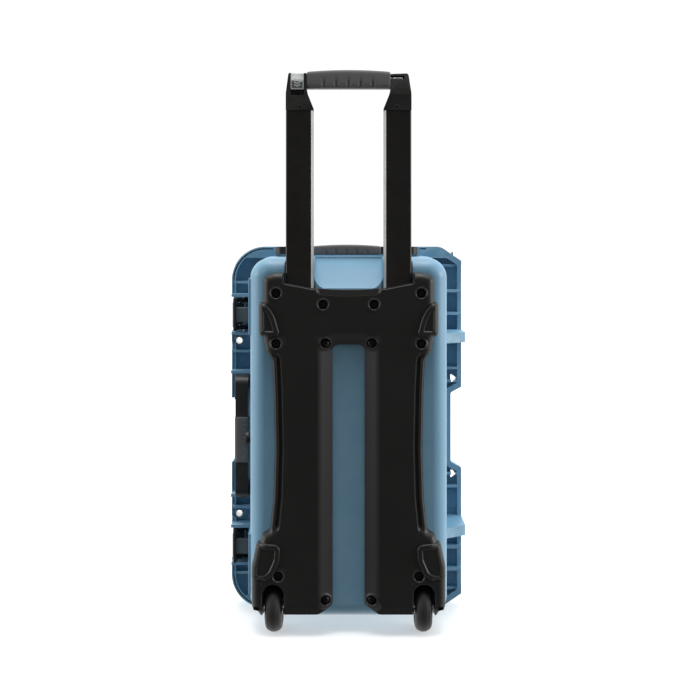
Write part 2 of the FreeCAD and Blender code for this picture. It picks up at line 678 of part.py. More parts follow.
for label, middle in LATCH_MIDS.items():
    lid_tools.append(box("lid_bay_" + label, ("-latch_reach - 1", "-latch_reach + 12"), ("-1", "16"),
                         (middle - 18.6, middle + 18.6)))
    lid_tools.append(box("lid_lever_relief_" + label, ("-latch_reach - 1", "-latch_reach + 12"), ("-1", "3"),
                         (middle - 26, middle + 26)))
for label, middle in EYE_MIDS.items():
    lid_tools.append(rod("lid_eye_bore_" + label, "Y", "eye_radius + eye_wall", ("-1", "20"),
                         ("-eye_x", middle)))
for index, (low, high) in enumerate(BASE_KNUCKLES):
    lid_tools.append(rod("lid_relief_%d" % index, "Z", "knuckle_radius + 0.9", (low - 0.5, high + 0.5),
                         ("hinge_x", 0)))
for index, ends in enumerate(HINGE_SPANS):
    lid_tools.append(rod("lid_hinge_bore_%d" % index, "Z", "hinge_pin + running_gap", ends,
                         ("hinge_x", 0)))
lid_hollow = cut("lid_hollow", lid_body, *lid_tools)
lid_whole = fuse("lid_whole", lid_hollow, *lid_catches)
lid_eye_blocks = eye_blocks("lid_eye_blocks", ("-0.1", "16"))
node("lid_shell", cut("lid_shell_solid", lid_whole, lid_eye_blocks))
node("padlock_eyes_lid", common("lid_eyes", lid_whole, lid_eye_blocks))
node("lid_gasket", cut("gasket_ring", gasket_outer, gasket_inner))
node("padlock_sleeves_lid", *[sleeve("lid_sleeve_" + label, middle, ("0.5", "13.6"))
                              for label, middle in EYE_MIDS.items()])

# ---------------------------------------------------------------------------
# Trolley handle: tubes, bright strips, caps, grip, and the tubes' end blocks
# ---------------------------------------------------------------------------
ROD_X = 72
BOLT_Z = 309


cap_outline = [
    (50, 754, 0), (50, 756, 4), (58, 776, 12), (60, 784, 6), (60, 807, 1.5), (86, 808, 4),
    (90, 778, 30), (90, 754, 0),
]
for side, sign in SIDES.items():
    tube_xs = side_span(side, "tube_in + trim_wide", "tube_out")
    tube_block = box("tube_block_" + side, tube_xs, ("-tube_front", "-tube_back"),
                     ("tube_low", "tube_high"))
    tube_round = rounded("tube_round_" + side, tube_block, 2.5,
                         lambda middle, edge, s=sign: edge.BoundBox.ZLength > 100
                         and abs(middle.x) > 80)
    bore_xs = side_span(side, "tube_in + trim_wide + tube_wall", "tube_out - tube_wall")
    tube_bore = box("tube_bore_" + side, bore_xs, ("-tube_front + tube_wall", "-tube_back - tube_wall"),
                    ("tube_low - 1", "tube_high + 1"))
    bolt_window = box("bolt_window_" + side, side_span(side, "tube_out - 5", "tube_out + 5"),
                      (-155, -146), (BOLT_Z - 5.6, BOLT_Z + 5.6))
    node("tube_" + side, cut("tube_solid_" + side, tube_round, tube_bore, bolt_window))

    strip = prism("strip_" + side, "XY", [corner_edges([
        (sign * dim("tube_in"), -146, 1), (sign * dim("tube_in"), -155, 1),
        (sign * (dim("tube_in") + dim("trim_wide")), -160, 0),
        (sign * (dim("tube_in") + dim("trim_wide")), -141, 0)])], "tube_low", "tube_high - tube_low")
    node("tube_trim_" + side, strip)

    plug_xs = side_span(side, "tube_in + trim_wide + tube_wall + 0.2", "tube_out - tube_wall - 0.2")
    plug_ys = ("-tube_front + tube_wall + 0.2", "-tube_back - tube_wall - 0.2")
    shoe_block = box("shoe_block_" + side, plug_xs, plug_ys, ("tube_low", "tube_low + 35"))
    bolt_slot = box("bolt_slot_" + side, side_span(side, 70, 95), (-154.9, -146.1),
                    (BOLT_Z - 5.4, BOLT_Z + 5.4))
    shoe_rod_bore = rod("shoe_rod_bore_" + side, "Z", "3.2", (BOLT_Z, BOLT_Z + 30), (sign * ROD_X, -150.5))
    node("tube_shoe_" + side, cut("shoe_" + side, shoe_block, bolt_slot, shoe_rod_bore))

    cap_points = [(sign * u, v, radius) for u, v, radius in cap_outline]
    cap_block = prism("cap_block_" + side, "XZ", [corner_edges(cap_points)], "tube_back - 0.5",
                      "tube_front - tube_back + 1.5")
    cap_plug = box("cap_plug_" + side, plug_xs, plug_ys, (738, 756))
    nose = prism("cap_nose_" + side, "YZ", [corner_edges([
        (-162, 774, 0), (-150, 812, 0), (-170, 812, 0), (-170, 774, 0)])], "-100", "200")
    cap_tools = [
        box("cap_chamber_" + side, side_span(side, 50, 80), (-154, -147), (787, 804.5)),
        rod("cap_rod_bore_" + side, "Z", "3.2", (730, 790), (sign * ROD_X, -150.5)),
    ]
    if side == "left":
        cap_tools.append(box("button_recess", (-83.6, -63.4), (-165, -155.5), (775, 812)))
        cap_tools.append(box("button_window", (-79, -66), (-156, -153), (787, 804.5)))
    else:
        cap_tools.append(nose)
    cap_body = fuse("cap_body_" + side, cap_block, cap_plug)
    node("cap_" + side, cut("cap_solid_" + side, cap_body, *cap_tools))

core_block = box("core_block", ("-grip_half", "grip_half"), (-158.5, -142.5), (785.8, 806.6))
core_room = box("core_room", (-70, 70), (-154, -147), (787, 804.5))
node("grip_core", cut("core", core_block, core_room))

crown_rise = dim("grip_crown")
grip_half = dim("grip_half") - 0.3
sleeve_profile = corner_edges([
    (-grip_half, dim("grip_low"), 0), (grip_half, dim("grip_low"), 0),
    (grip_half, dim("grip_high"), 0), (-grip_half, dim("grip_high"), 0)])
crown_arc = Part.Arc(Vector(grip_half, dim("grip_high"), 0),
                     Vector(0, dim("grip_high") + crown_rise, 0),
                     Vector(-grip_half, dim("grip_high"), 0))
grip_solid_block = prism("grip_block", "XZ", [sleeve_profile[:2] + [crown_arc] + sleeve_profile[3:]],
                         "139.5", "22")
grip_round = rounded("grip_round", grip_solid_block, 6,
                     lambda middle, edge: edge.BoundBox.XLength > 100)
grip_tools = [box("grip_core_room", ("-grip_half - 1", "grip_half + 1"), (-158.6, -142.4), (785, 806.7))]
for step in range(-2, 3):
    grip_tools.append(rod("finger_notch_%d" % (step + 2), "Y", "2.6", (-165, -157.5),
                          ("notch_pitch * %d" % step, "grip_low")))
node("trolley_grip", cut("grip_solid", grip_round, *grip_tools))

# ---------------------------------------------------------------------------
# Release: button, cross link, push rods and the two lock bolts
# ---------------------------------------------------------------------------
button_profile = corner_edges([
    (-161, 783.6, 2), (-155.8, 783.6, 0), (-155.8, 807.4, 1), (-157.4, 807.4, 1.5), (-161, 798, 8)])
button_block = prism("button_block", "YZ", [button_profile], "-82.7", "18.3")
button_tab = box("button_tab", (-78, -67), (-158, -153.4), (796.4, 801.2))
node("release_button", fuse("button_solid", button_block, button_tab))
node("release_link", box("link_bar", (-77.5, 77.5), (-153.4, -147.6), (796.6, 801.2)))
for side, sign in SIDES.items():
    node("push_rod_" + side, rod("push_rod_solid_" + side, "Z", "2.4", (BOLT_Z + 13, 796.6),
                                 (sign * ROD_X, -150.5)))
    node("lock_bolt_" + side, box("bolt_" + side, side_span(side, 78, 92), (-154.6, -146.4),
                                  (BOLT_Z - 5, BOLT_Z + 5)))

# ---------------------------------------------------------------------------
# Carrying handles: a black bail with a soft grip on it
# ---------------------------------------------------------------------------
side_bail = prism("side_bail", "YZ", [corner_edges([
    (-29, dim("side_low"), 5), (-29, dim("side_high"), 5), (-84, dim("side_high"), 14),
    (-84, dim("side_low"), 14)])], "-169.5", "19")
side_room = prism("side_room", "YZ", [corner_edges([
    (-20, dim("side_low") + 16, 0), (-20, dim("side_high") - 16, 0),
    (-66, dim("side_high") - 28, 9), (-66, dim("side_low") + 28, 9)])], "-180", "40")
side_arm_relief = [
    box("side_relief_%d" % index, ("-171", "-165"), (-48, -20), (low, low + 17))
    for index, low in enumerate((dim("side_low") - 0.5, dim("side_high") - 16.5))
]
side_bore = rod("side_bore", "Z", "handle_pin + running_gap", ("side_low - 5", "side_high + 5"),
                ("-side_pivot_x", "-side_pivot_y"))
side_grip_block = box("side_grip_block", (-171, -149), (-86, -64), (236, 304))
side_grip_round = rounded("side_grip_round", side_grip_block, 2.5,
                          lambda middle, edge: edge.BoundBox.ZLength > 60)
side_grip_seat = box("side_grip_seat", (-169.6, -150.4), (-84.1, -65.9), (230, 310))
side_bail_cut = cut("side_bail_cut", side_bail, side_room, side_bore, *side_arm_relief)
node("side_handle_bail", side_bail_cut)
node("side_handle_grip", cut("side_grip", side_grip_round, side_grip_seat))

top_low = dim("top_mid") - dim("top_half")
top_high = dim("top_mid") + dim("top_half")
top_bail = prism("top_bail", "XY", [corner_edges([
    (top_low, -28.5, 4), (top_high, -28.5, 4), (top_high, -66, 10), (top_low, -66, 10)])], "547.4", "11.6")
top_room = prism("top_room", "XY", [corner_edges([
    (top_low + 15, -20, 0), (top_high - 15, -20, 0), (top_high - 26, -51, 7),
    (top_low + 26, -51, 7)])], "540", "30")
top_bore = rod("top_bore", "X", "handle_pin + running_gap",
               ("top_mid - top_half - 1", "top_mid + top_half + 1"), ("-top_pivot_y", "top_pivot_z"))
top_grip_block = prism("top_grip_block", "XZ", [corner_edges([
    (dim("top_mid") - 52, 546.5, 0), (dim("top_mid") + 52, 546.5, 0),
    (dim("top_mid") + 52, 560, 0), (dim("top_mid"), 562.4, 300), (dim("top_mid") - 52, 560, 0)])],
    "49.4", "18.2")
top_grip_seat = box("top_grip_seat", (-70, 70), (-66.1, -50.9), (547.3, 559.1))
top_notches = [rod("top_notch_%d" % step, "Y", "2.2", (-68, -64.5),
                   ("top_mid + 15.4 * %d" % (step - 2), 546.5))
               for step in range(5)]
node("top_handle_bail", cut("top_bail_cut", top_bail, top_room, top_bore))
node("top_handle_grip", cut("top_grip", top_grip_block, top_grip_seat, *top_notches))

# ---------------------------------------------------------------------------
# Latches: lever on the base, claw on the lever, sliding lock in the lever
# ---------------------------------------------------------------------------
for label, middle in LATCH_MIDS.items():
    half = dim("latch_tall") / 2
    low = middle - half
    lever_plate = prism("lever_plate_" + label, "XY", [corner_edges([
        (-169, -8.5, 4), (-156, -8.5, 5), (-156, -21, 5), (-170.5, -29, 3), (-171.4, -55.5, 1),
        (-175.8, -55.5, 2.5), (-177.5, -40, 20), (-176, -20, 3)])], str(low), "latch_tall")
    claw_room = box("claw_room_" + label, (-190, -145), (-34, 0), (middle - 17.6, middle + 17.6))
    lever_bore = rod("lever_bore_" + label, "Z", "hinge_pin + running_gap", (low - 1, low + 50), LATCH_PIVOT)
    claw_pin_bore = rod("claw_pin_bore_" + label, "Z", "1.5", (middle - 22, middle + 22), CLAW_PIVOT)
    lock_room = box("lock_room_" + label, (-173.6, -160), (-53, -37.4), (middle - 15.8, middle + 15.8))
    node("latch_lever_" + label, cut("lever_" + label, lever_plate, claw_room, lever_bore, claw_pin_bore,
                                     lock_room))
    claw_plate = prism("claw_plate_" + label, "XY", [corner_edges([
        (-174, 23, 3), (-163, 23, 3), (-163, 15.2, 1), (-169.6, 15.2, 1),
        (-169.6, -14, 4), (-165.6, -19.5, 2), (-165.6, -25.7, 3), (-174, -25.7, 4)])],
        str(middle - 17), "34")
    claw_bore = rod("claw_bore_" + label, "Z", "1.55", (middle - 18, middle + 18), CLAW_PIVOT)
    node("latch_claw_" + label, cut("claw_" + label, claw_plate, claw_bore))
    node("claw_pin_" + label, rod("claw_rod_" + label, "Z", "1.5", (middle - 22, middle + 22),
                                  CLAW_PIVOT))
    node("latch_lock_" + label, box("lock_" + label, (-173.4, -153), (-52.6, -37.8),
                                    (middle - 11, middle + 11)))

# ---------------------------------------------------------------------------
# Wheels: tyre, hub and bearings on each axle
# ---------------------------------------------------------------------------
for side, sign in SIDES.items():
    wheel_xs = side_span(side, "wheel_mid - wheel_wide / 2", "wheel_mid + wheel_wide / 2")
    at = ("-wheel_back", "wheel_radius")
    tyre_block = rod("tyre_block_" + side, "X", "wheel_radius", wheel_xs, at)
    tyre_round = rounded("tyre_round_" + side, tyre_block, 7,
                         lambda middle, edge: edge.BoundBox.ZLength > 60 and edge.BoundBox.XLength < 1)
    node("tyre_" + side, cut("tyre_solid_" + side, tyre_round,
                             rod("tyre_bore_" + side, "X", "25", side_span(side, 90, 126), at)))
    hub_block = rod("hub_block_" + side, "X", "24.98",
                    side_span(side, "wheel_mid - wheel_wide / 2 + 1", "wheel_mid + wheel_wide / 2 - 1"), at)
    hub_tools = [rod("hub_bore_" + side, "X", "8", side_span(side, 90, 126), at)]
    for turn in range(6):
        angle = math.radians(60 * turn + 30)
        hub_tools.append(rod("hub_hole_%s_%d" % (side, turn), "X", "4.2", side_span(side, 90, 126),
                             ("-wheel_back + %.3f" % (16.5 * math.cos(angle)),
                              "wheel_radius + %.3f" % (16.5 * math.sin(angle)))))
    node("hub_" + side, cut("hub_solid_" + side, hub_block, *hub_tools))
    races = []
    for index, offset in enumerate(("- 8", "+ 3")):
        ends = side_span(side, "wheel_mid %s" % offset, "wheel_mid %s + 5" % offset)
        ring = rod("race_ring_%s_%d" % (side, index), "X", "7.98", ends, at)
        bore = rod("race_bore_%s_%d" % (side, index), "X", "axle_radius + running_gap",
                   side_span(side, 90, 126), at)
        races.append(cut("race_%s_%d" % (side, index), ring, bore))
    node("bearings_" + side, *races)

# ---------------------------------------------------------------------------
# Foam inserts: one cut for a folding drone and its controller, one plain pad in the lid
# ---------------------------------------------------------------------------
foam_reliefs = [scoop("foam_scoop_relief", 6)]
for side in SIDES:
    foam_reliefs.append(channel("foam_channel_relief_" + side, side, "(channel_gap + 5)",
                                "channel_floor - 8", True))
    foam_reliefs.append(well("foam_well_relief_" + side, side, 6))
foam_reliefs.append(rod("foam_valve_relief", "X", "10", ("-160", "-131"), ("-104", "275")))
foam_floor = prism("foam_floor_block", "XZ", [shell_outline(10)], "91", "42", "-base_draft")
node("foam_floor", cut("foam_floor_solid", foam_floor, *foam_reliefs))
foam_layer = prism("foam_layer_block", "XZ", [shell_outline(8.5)], "5", "85.5", "-base_draft")
POCKETS = [
    ("drone_body", -44, 44, 235, 420, 8), ("controller", -118, 118, 110, 190, 8),
    ("battery_low", -118, -66, 400, 470, 6), ("battery_high", 66, 118, 400, 470, 6),
    ("arm_low", -120, 120, 250, 282, 6), ("arm_high", -120, 120, 340, 372, 6),
]
pockets = [prism("pocket_" + label, "XZ", [rectangle(left, right, low, high, radius)], "0", "100")
           for label, left, right, low, high, radius in POCKETS]
node("foam_layer", cut("foam_layer_solid", foam_layer, *foam_reliefs, *pockets))
node("lid_foam", prism("lid_foam_block", "XZ", [shell_outline(14)], "-50.5", "32"))

# ---------------------------------------------------------------------------
# Recompute, check and write every piece
# ---------------------------------------------------------------------------
doc.recompute()
for item in doc.Objects:
    if "Invalid" in item.State or "Error" in item.State:
        raise RuntimeError("failed: %s %s" % (item.Label, item.State))
os.makedirs("parts", exist_ok=True)
for piece in NODES:
    shape = piece.Shape
    if shape.isNull() or not shape.isValid():
        raise RuntimeError("bad shape: " + piece.Label)
    shape.exportStep("parts/%s.step" % piece.Label)
print("%d pieces written" % len(NODES))
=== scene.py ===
# %% [markdown]
# # A wheeled equipment case, seen from behind
# This lesson builds the looks of a hard moulded case on top of a finished, moving CAD model.
# The CAD model fixes every size and every joint. Here each piece gets its visible surface:
# rounded edges, grips, seams, grain. Nothing is moved or resized on the way.

# %% Load the fixed frame
import json
import math

import bmesh
import bpy
import numpy as np
from mathutils import Matrix, Vector
from mathutils.geometry import delaunay_2d_cdt

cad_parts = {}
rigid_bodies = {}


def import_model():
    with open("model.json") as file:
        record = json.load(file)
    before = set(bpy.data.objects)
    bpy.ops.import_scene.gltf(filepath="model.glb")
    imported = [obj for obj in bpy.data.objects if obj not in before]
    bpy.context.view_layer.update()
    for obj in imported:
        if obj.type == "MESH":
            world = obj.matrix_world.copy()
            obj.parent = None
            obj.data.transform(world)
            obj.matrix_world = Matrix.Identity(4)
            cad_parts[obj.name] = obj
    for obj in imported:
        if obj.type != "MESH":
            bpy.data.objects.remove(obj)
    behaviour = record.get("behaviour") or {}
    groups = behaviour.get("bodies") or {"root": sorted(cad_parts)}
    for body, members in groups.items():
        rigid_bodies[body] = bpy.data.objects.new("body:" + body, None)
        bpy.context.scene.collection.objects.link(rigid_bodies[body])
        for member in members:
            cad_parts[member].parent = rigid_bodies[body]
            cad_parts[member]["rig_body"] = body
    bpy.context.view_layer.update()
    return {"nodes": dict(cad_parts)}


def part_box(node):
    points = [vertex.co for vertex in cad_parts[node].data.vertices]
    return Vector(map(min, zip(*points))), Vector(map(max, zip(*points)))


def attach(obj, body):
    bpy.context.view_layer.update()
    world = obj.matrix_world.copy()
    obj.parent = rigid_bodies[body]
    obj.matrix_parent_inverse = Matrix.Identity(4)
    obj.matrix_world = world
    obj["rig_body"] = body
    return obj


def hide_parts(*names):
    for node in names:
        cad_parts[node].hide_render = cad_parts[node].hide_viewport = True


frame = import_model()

MM = 0.001

# %% [markdown]
# The case is easiest to describe from its own middle: X is measured from midway between the two
# handle tubes, Y from the seam between base and lid, and Z from the floor. Both reference planes
# are read from the frame, and `at` turns such a place, in millimetres, into the frame's metres.

# %% Reference planes of the case
MIDDLE = (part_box("tube_left")[0].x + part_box("tube_right")[1].x) / 2
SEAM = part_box("lid_gasket")[0].y - 0.5 * MM


def at(x, y, z):
    """A place on the case, from its middle, seam and floor in millimetres, in metres."""
    return Vector((MIDDLE + x * MM, SEAM + y * MM, z * MM))


print("middle plane x = %.4f, seam plane y = %.4f" % (MIDDLE, SEAM))

# %% [markdown]
# ## Camera
# The camera stands level, straight behind the case and at the height of its top. It doesn't tilt,
# so upright edges stay upright: the picture is moved down with a lens shift, as with a view camera.

# %% Camera
camera_data = bpy.data.cameras.new("view_camera")
camera_data.lens = 58.9
camera_data.shift_x = 0.002
camera_data.shift_y = -0.143
camera = bpy.data.objects.new("view_camera", camera_data)
camera.location = at(0, -1798, 554)
camera.rotation_euler = (math.pi / 2, 0, 0)
bpy.context.scene.collection.objects.link(camera)
bpy.context.scene.camera = camera
print("camera at", [round(value, 3) for value in camera.location])

# %% [markdown]
# ## Floor and light
# A product studio wraps the object in white. Light comes from above and from both sides, and
# little from the camera's side, so faces that look back at the camera stay deep while rounded
# edges catch a bright line. The world does this with one gradient along Y. What the camera
# sees of the world directly is plain white. The floor shows a faint shadow but sends no light
# up into the object.

# %% Floor
floor_mesh = bpy.data.meshes.new("studio_floor")
floor_mesh.from_pydata([(-40, -40, 0), (40, -40, 0), (40, 40, 0), (-40, 40, 0)], [], [(0, 1, 2, 3)])
floor = bpy.data.objects.new("studio_floor", floor_mesh)
bpy.context.scene.collection.objects.link(floor)
floor.visible_diffuse = False
floor.visible_glossy = False

floor_material = bpy.data.materials.new("studio_floor")
floor_material.use_nodes = True
floor_shader = floor_material.node_tree.nodes["Principled BSDF"]
floor_shader.inputs["Base Color"].default_value = (0.60, 0.60, 0.60, 1)
floor_shader.inputs["Emission Color"].default_value = (0.93, 0.97, 1.0, 1)
floor_shader.inputs["Emission Strength"].default_value = 0.46
floor_shader.inputs["Roughness"].default_value = 1.0
floor_shader.inputs["Specular IOR Level"].default_value = 0.0
floor.data.materials.append(floor_material)

# %% Studio light
FRONT_LIGHT = 0.115
BACK_LIGHT = 1.35
world = bpy.data.worlds.new("studio")
world.use_nodes = True
world_nodes = world.node_tree.nodes
world_nodes["Background"].inputs["Color"].default_value = (1, 1, 1, 1)
world_links = world.node_tree.links
direction = world_nodes.new("ShaderNodeTexCoord")
split = world_nodes.new("ShaderNodeSeparateXYZ")
gradient = world_nodes.new("ShaderNodeMapRange")
gradient.interpolation_type = "SMOOTHSTEP"
gradient.inputs["From Min"].default_value = -0.75
gradient.inputs["From Max"].default_value = 0.35
gradient.inputs["To Min"].default_value = FRONT_LIGHT
gradient.inputs["To Max"].default_value = BACK_LIGHT
world_links.new(direction.outputs["Generated"], split.inputs["Vector"])
world_links.new(split.outputs["Y"], gradient.inputs["Value"])
light_path = world_nodes.new("ShaderNodeLightPath")
seen = world_nodes.new("ShaderNodeMix")
world_links.new(light_path.outputs["Is Camera Ray"], seen.inputs["Factor"])
world_links.new(gradient.outputs["Result"], seen.inputs["A"])
seen.inputs["B"].default_value = 1.05
world_links.new(seen.outputs["Result"], world_nodes["Background"].inputs["Strength"])
bpy.context.scene.world = world
bpy.context.scene.view_settings.view_transform = "Standard"


def sun(name, toward, strength, spread):
    """A broad distant light that shines along a direction."""
    data = bpy.data.lights.new(name, "SUN")
    data.energy = strength
    data.angle = math.radians(spread)
    light = bpy.data.objects.new(name, data)
    light.rotation_euler = Vector(toward).to_track_quat("-Z", "Y").to_euler()
    bpy.context.scene.collection.objects.link(light)
    return light


sun("top_light", (0, 0.10, -1), 2.4, 40)
sun("left_light", (0.95, 0.22, -0.2), 1.4, 30)
sun("right_light", (-0.95, 0.22, -0.2), 2.0, 30)
print("lights:", [item.name for item in bpy.data.lights])

# %% [markdown]
# ## Shader groups
# Three effects belong to more than one material, so each is a node group with named inputs.
# `mould_grain` is the fine sparked texture of an injection mould: a height and a mask.
# `edge_highlight` finds outer edges, which handling polishes lighter. `dust_film` is the faint
# The edge group marks outer edges by their pointiness, broken up by noise: there a painted
# highlight lightens the colour. `dust_film` is the faint cloudy variation that any matt plastic
# has. The groups give only values: every material keeps its own shader.

# %% Group helper
def new_group(name, inputs, outputs):
    """An empty shader group with float sockets; returns the tree, its input and output nodes."""
    tree = bpy.data.node_groups.new(name, "ShaderNodeTree")
    for label, value in inputs:
        socket = tree.interface.new_socket(label, in_out="INPUT", socket_type="NodeSocketFloat")
        socket.default_value = value
    for label in outputs:
        tree.interface.new_socket(label, in_out="OUTPUT", socket_type="NodeSocketFloat")
    return tree, tree.nodes.new("NodeGroupInput"), tree.nodes.new("NodeGroupOutput")


def noise(tree, scale, detail):
    """Noise texture on the object's own coordinates, in a group or a material."""
    place = tree.nodes.new("ShaderNodeTexCoord")
    texture = tree.nodes.new("ShaderNodeTexNoise")
    texture.inputs["Scale"].default_value = scale
    texture.inputs["Detail"].default_value = detail
    tree.links.new(place.outputs["Object"], texture.inputs["Vector"])
    return texture


def remap(tree, source, low, high, to_low=0.0, to_high=1.0):
    """Map a value from low..high to to_low..to_high, clamped."""
    node = tree.nodes.new("ShaderNodeMapRange")
    node.inputs["From Min"].default_value = low
    node.inputs["From Max"].default_value = high
    node.inputs["To Min"].default_value = to_low
    node.inputs["To Max"].default_value = to_high
    tree.links.new(source, node.inputs["Value"])
    return node.outputs["Result"]


# %% Mould grain, painted edge highlight and dust film
grain_tree, grain_in, grain_out = new_group("mould_grain", [("Scale", 900.0)], ["Height", "Mask"])
grain_noise = noise(grain_tree, 900.0, 3.0)
grain_tree.links.new(grain_in.outputs["Scale"], grain_noise.inputs["Scale"])
grain_tree.links.new(remap(grain_tree, grain_noise.outputs["Fac"], 0.3, 0.7), grain_out.inputs["Height"])
grain_tree.links.new(remap(grain_tree, grain_noise.outputs["Fac"], 0.42, 0.6), grain_out.inputs["Mask"])

# Painted highlight: a mask of outer edges, where the materials lighten their colour.
highlight_tree, highlight_in, highlight_out = new_group("edge_highlight", [("Start", 0.52), ("Full", 0.62)], ["Mask"])
highlight_geometry = highlight_tree.nodes.new("ShaderNodeNewGeometry")
highlight_range = highlight_tree.nodes.new("ShaderNodeMapRange")
highlight_tree.links.new(highlight_geometry.outputs["Pointiness"], highlight_range.inputs["Value"])
highlight_tree.links.new(highlight_in.outputs["Start"], highlight_range.inputs["From Min"])
highlight_tree.links.new(highlight_in.outputs["Full"], highlight_range.inputs["From Max"])
highlight_break = remap(highlight_tree, noise(highlight_tree, 60.0, 4.0).outputs["Fac"], 0.35, 0.65, 0.35, 1.0)
highlight_product = highlight_tree.nodes.new("ShaderNodeMath")
highlight_product.operation = "MULTIPLY"
highlight_tree.links.new(highlight_range.outputs["Result"], highlight_product.inputs[0])
highlight_tree.links.new(highlight_break, highlight_product.inputs[1])
highlight_tree.links.new(highlight_product.outputs["Value"], highlight_out.inputs["Mask"])

dust_tree, dust_in, dust_out = new_group("dust_film", [("Scale", 14.0)], ["Mask"])
dust_noise = noise(dust_tree, 14.0, 6.0)
dust_tree.links.new(dust_in.outputs["Scale"], dust_noise.inputs["Scale"])
dust_tree.links.new(remap(dust_tree, dust_noise.outputs["Fac"], 0.35, 0.75), dust_out.inputs["Mask"])
print("groups:", [tree.name for tree in bpy.data.node_groups])

# %% [markdown]
# ## Materials
# One recipe serves all the plastics, rubbers and metals: a base colour that clouds slightly
# with the dust film and lightens along outer edges as a painted highlight, a roughness that
# follows the grain, and a bump from the grain's height. Each finish only differs in its numbers.

# %% Finish recipe
def group_node(tree, name, **values):
    """Place a shader group in a material, with its own input values."""
    node = tree.nodes.new("ShaderNodeGroup")
    node.node_tree = bpy.data.node_groups[name]
    for label, value in values.items():
        node.inputs[label].default_value = value
    return node


def mix_colour(tree, factor, first, second):
    """Mix two colours, each a socket or a triple, by a socket."""
    node = tree.nodes.new("ShaderNodeMix")
    node.data_type = "RGBA"
    tree.links.new(factor, node.inputs["Factor"])
    for label, colour in (("A", first), ("B", second)):
        socket = [item for item in node.inputs if item.name == label and item.type == "RGBA"][0]
        if isinstance(colour, tuple):
            socket.default_value = (*colour, 1)
        else:
            tree.links.new(colour, socket)
    return [item for item in node.outputs if item.type == "RGBA"][0]


def finish_material(name, colour, cloud, highlight_colour, rough, grain=900.0, depth=0.02, metallic=0.0,
                    specular=0.5, dust=14.0, coat=0.0):
    """A procedural finish; its second and third colours are those of its film and of the painted highlight on
    its outer edges.
    """
    material = bpy.data.materials.new(name)
    material.use_nodes = True
    tree = material.node_tree
    shader = tree.nodes["Principled BSDF"]
    grain_node = group_node(tree, "mould_grain", Scale=grain)
    highlight_node = group_node(tree, "edge_highlight")
    dust_node = group_node(tree, "dust_film", Scale=dust)
    clouded = mix_colour(tree, dust_node.outputs["Mask"], colour, cloud)
    # Painted highlight: outer edges take the lighter third colour.
    highlighted = mix_colour(tree, highlight_node.outputs["Mask"], clouded, highlight_colour)
    tree.links.new(highlighted, shader.inputs["Base Color"])
    roughness = remap(tree, grain_node.outputs["Mask"], 0.0, 1.0, rough - 0.05, rough + 0.05)
    tree.links.new(roughness, shader.inputs["Roughness"])
    bump = tree.nodes.new("ShaderNodeBump")
    bump.inputs["Strength"].default_value = 0.5
    bump.inputs["Distance"].default_value = depth * MM
    tree.links.new(grain_node.outputs["Height"], bump.inputs["Height"])
    tree.links.new(bump.outputs["Normal"], shader.inputs["Normal"])
    shader.inputs["Metallic"].default_value = metallic
    shader.inputs["Specular IOR Level"].default_value = specular
    shader.inputs["Coat Weight"].default_value = coat
    shader.inputs["Coat Roughness"].default_value = 0.3
    return material


# %% Finishes of the case
# The third colour of each finish is the painted highlight on its outer edges.
FINISHES = {
    "shell_resin": finish_material("shell_resin", (0.166, 0.338, 0.478), (0.184, 0.362, 0.502),
                                   (0.290, 0.475, 0.600), 0.42, grain=700.0, depth=0.03),
    "black_resin": finish_material("black_resin", (0.0080, 0.0072, 0.0066), (0.0105, 0.0096, 0.0090),
                                   (0.030, 0.029, 0.027), 0.46, grain=800.0, depth=0.04, specular=0.42),
    "grey_resin": finish_material("grey_resin", (0.070, 0.085, 0.090), (0.080, 0.094, 0.098),
                                  (0.110, 0.125, 0.130), 0.45, grain=900.0),
    "grip_rubber": finish_material("grip_rubber", (0.110, 0.109, 0.111), (0.124, 0.123, 0.125),
                                   (0.140, 0.140, 0.142), 0.62, grain=1100.0, depth=0.05, specular=0.35),
    "handle_tube": finish_material("handle_tube", (0.0075, 0.0062, 0.0055), (0.0090, 0.0078, 0.0070),
                                   (0.020, 0.019, 0.018), 0.36, grain=1500.0, depth=0.01, specular=0.4),
    # Painted reflection: a bright metal strip on each tube stands in for the studio's reflection along the
    # black tube's rounded inner edge.
    "bright_strip": finish_material("bright_strip", (0.27, 0.265, 0.255), (0.30, 0.295, 0.285),
                                    (0.42, 0.41, 0.40), 0.38, grain=1800.0, depth=0.006, metallic=1.0),
    "silver_plastic": finish_material("silver_plastic", (0.50, 0.52, 0.52), (0.54, 0.56, 0.56),
                                      (0.66, 0.67, 0.67), 0.34, grain=1200.0, depth=0.01),
    "steel": finish_material("steel", (0.50, 0.50, 0.49), (0.56, 0.56, 0.55), (0.70, 0.70, 0.69),
                             0.30, grain=1600.0, depth=0.008, metallic=1.0),
    "black_screw": finish_material("black_screw", (0.012, 0.012, 0.012), (0.016, 0.016, 0.016),
                                   (0.090, 0.090, 0.088), 0.32, grain=1800.0, depth=0.006, metallic=0.6),
    "wheel_tyre": finish_material("wheel_tyre", (0.0150, 0.0132, 0.0130), (0.0210, 0.0190, 0.0185),
                                  (0.032, 0.030, 0.029), 0.58, grain=1000.0, depth=0.06, specular=0.4),
    "wheel_hub": finish_material("wheel_hub", (0.014, 0.014, 0.014), (0.018, 0.018, 0.018),
                                 (0.04, 0.04, 0.04), 0.45, grain=900.0),
    "seal_rubber": finish_material("seal_rubber", (0.016, 0.016, 0.016), (0.022, 0.022, 0.022),
                                   (0.035, 0.035, 0.035), 0.7, grain=1200.0, depth=0.04),
    "foam": finish_material("foam", (0.030, 0.031, 0.034), (0.044, 0.045, 0.049),
                            (0.055, 0.056, 0.060), 0.95, grain=420.0, depth=0.6, specular=0.1, dust=40.0),
}
print("finishes:", sorted(FINISHES))

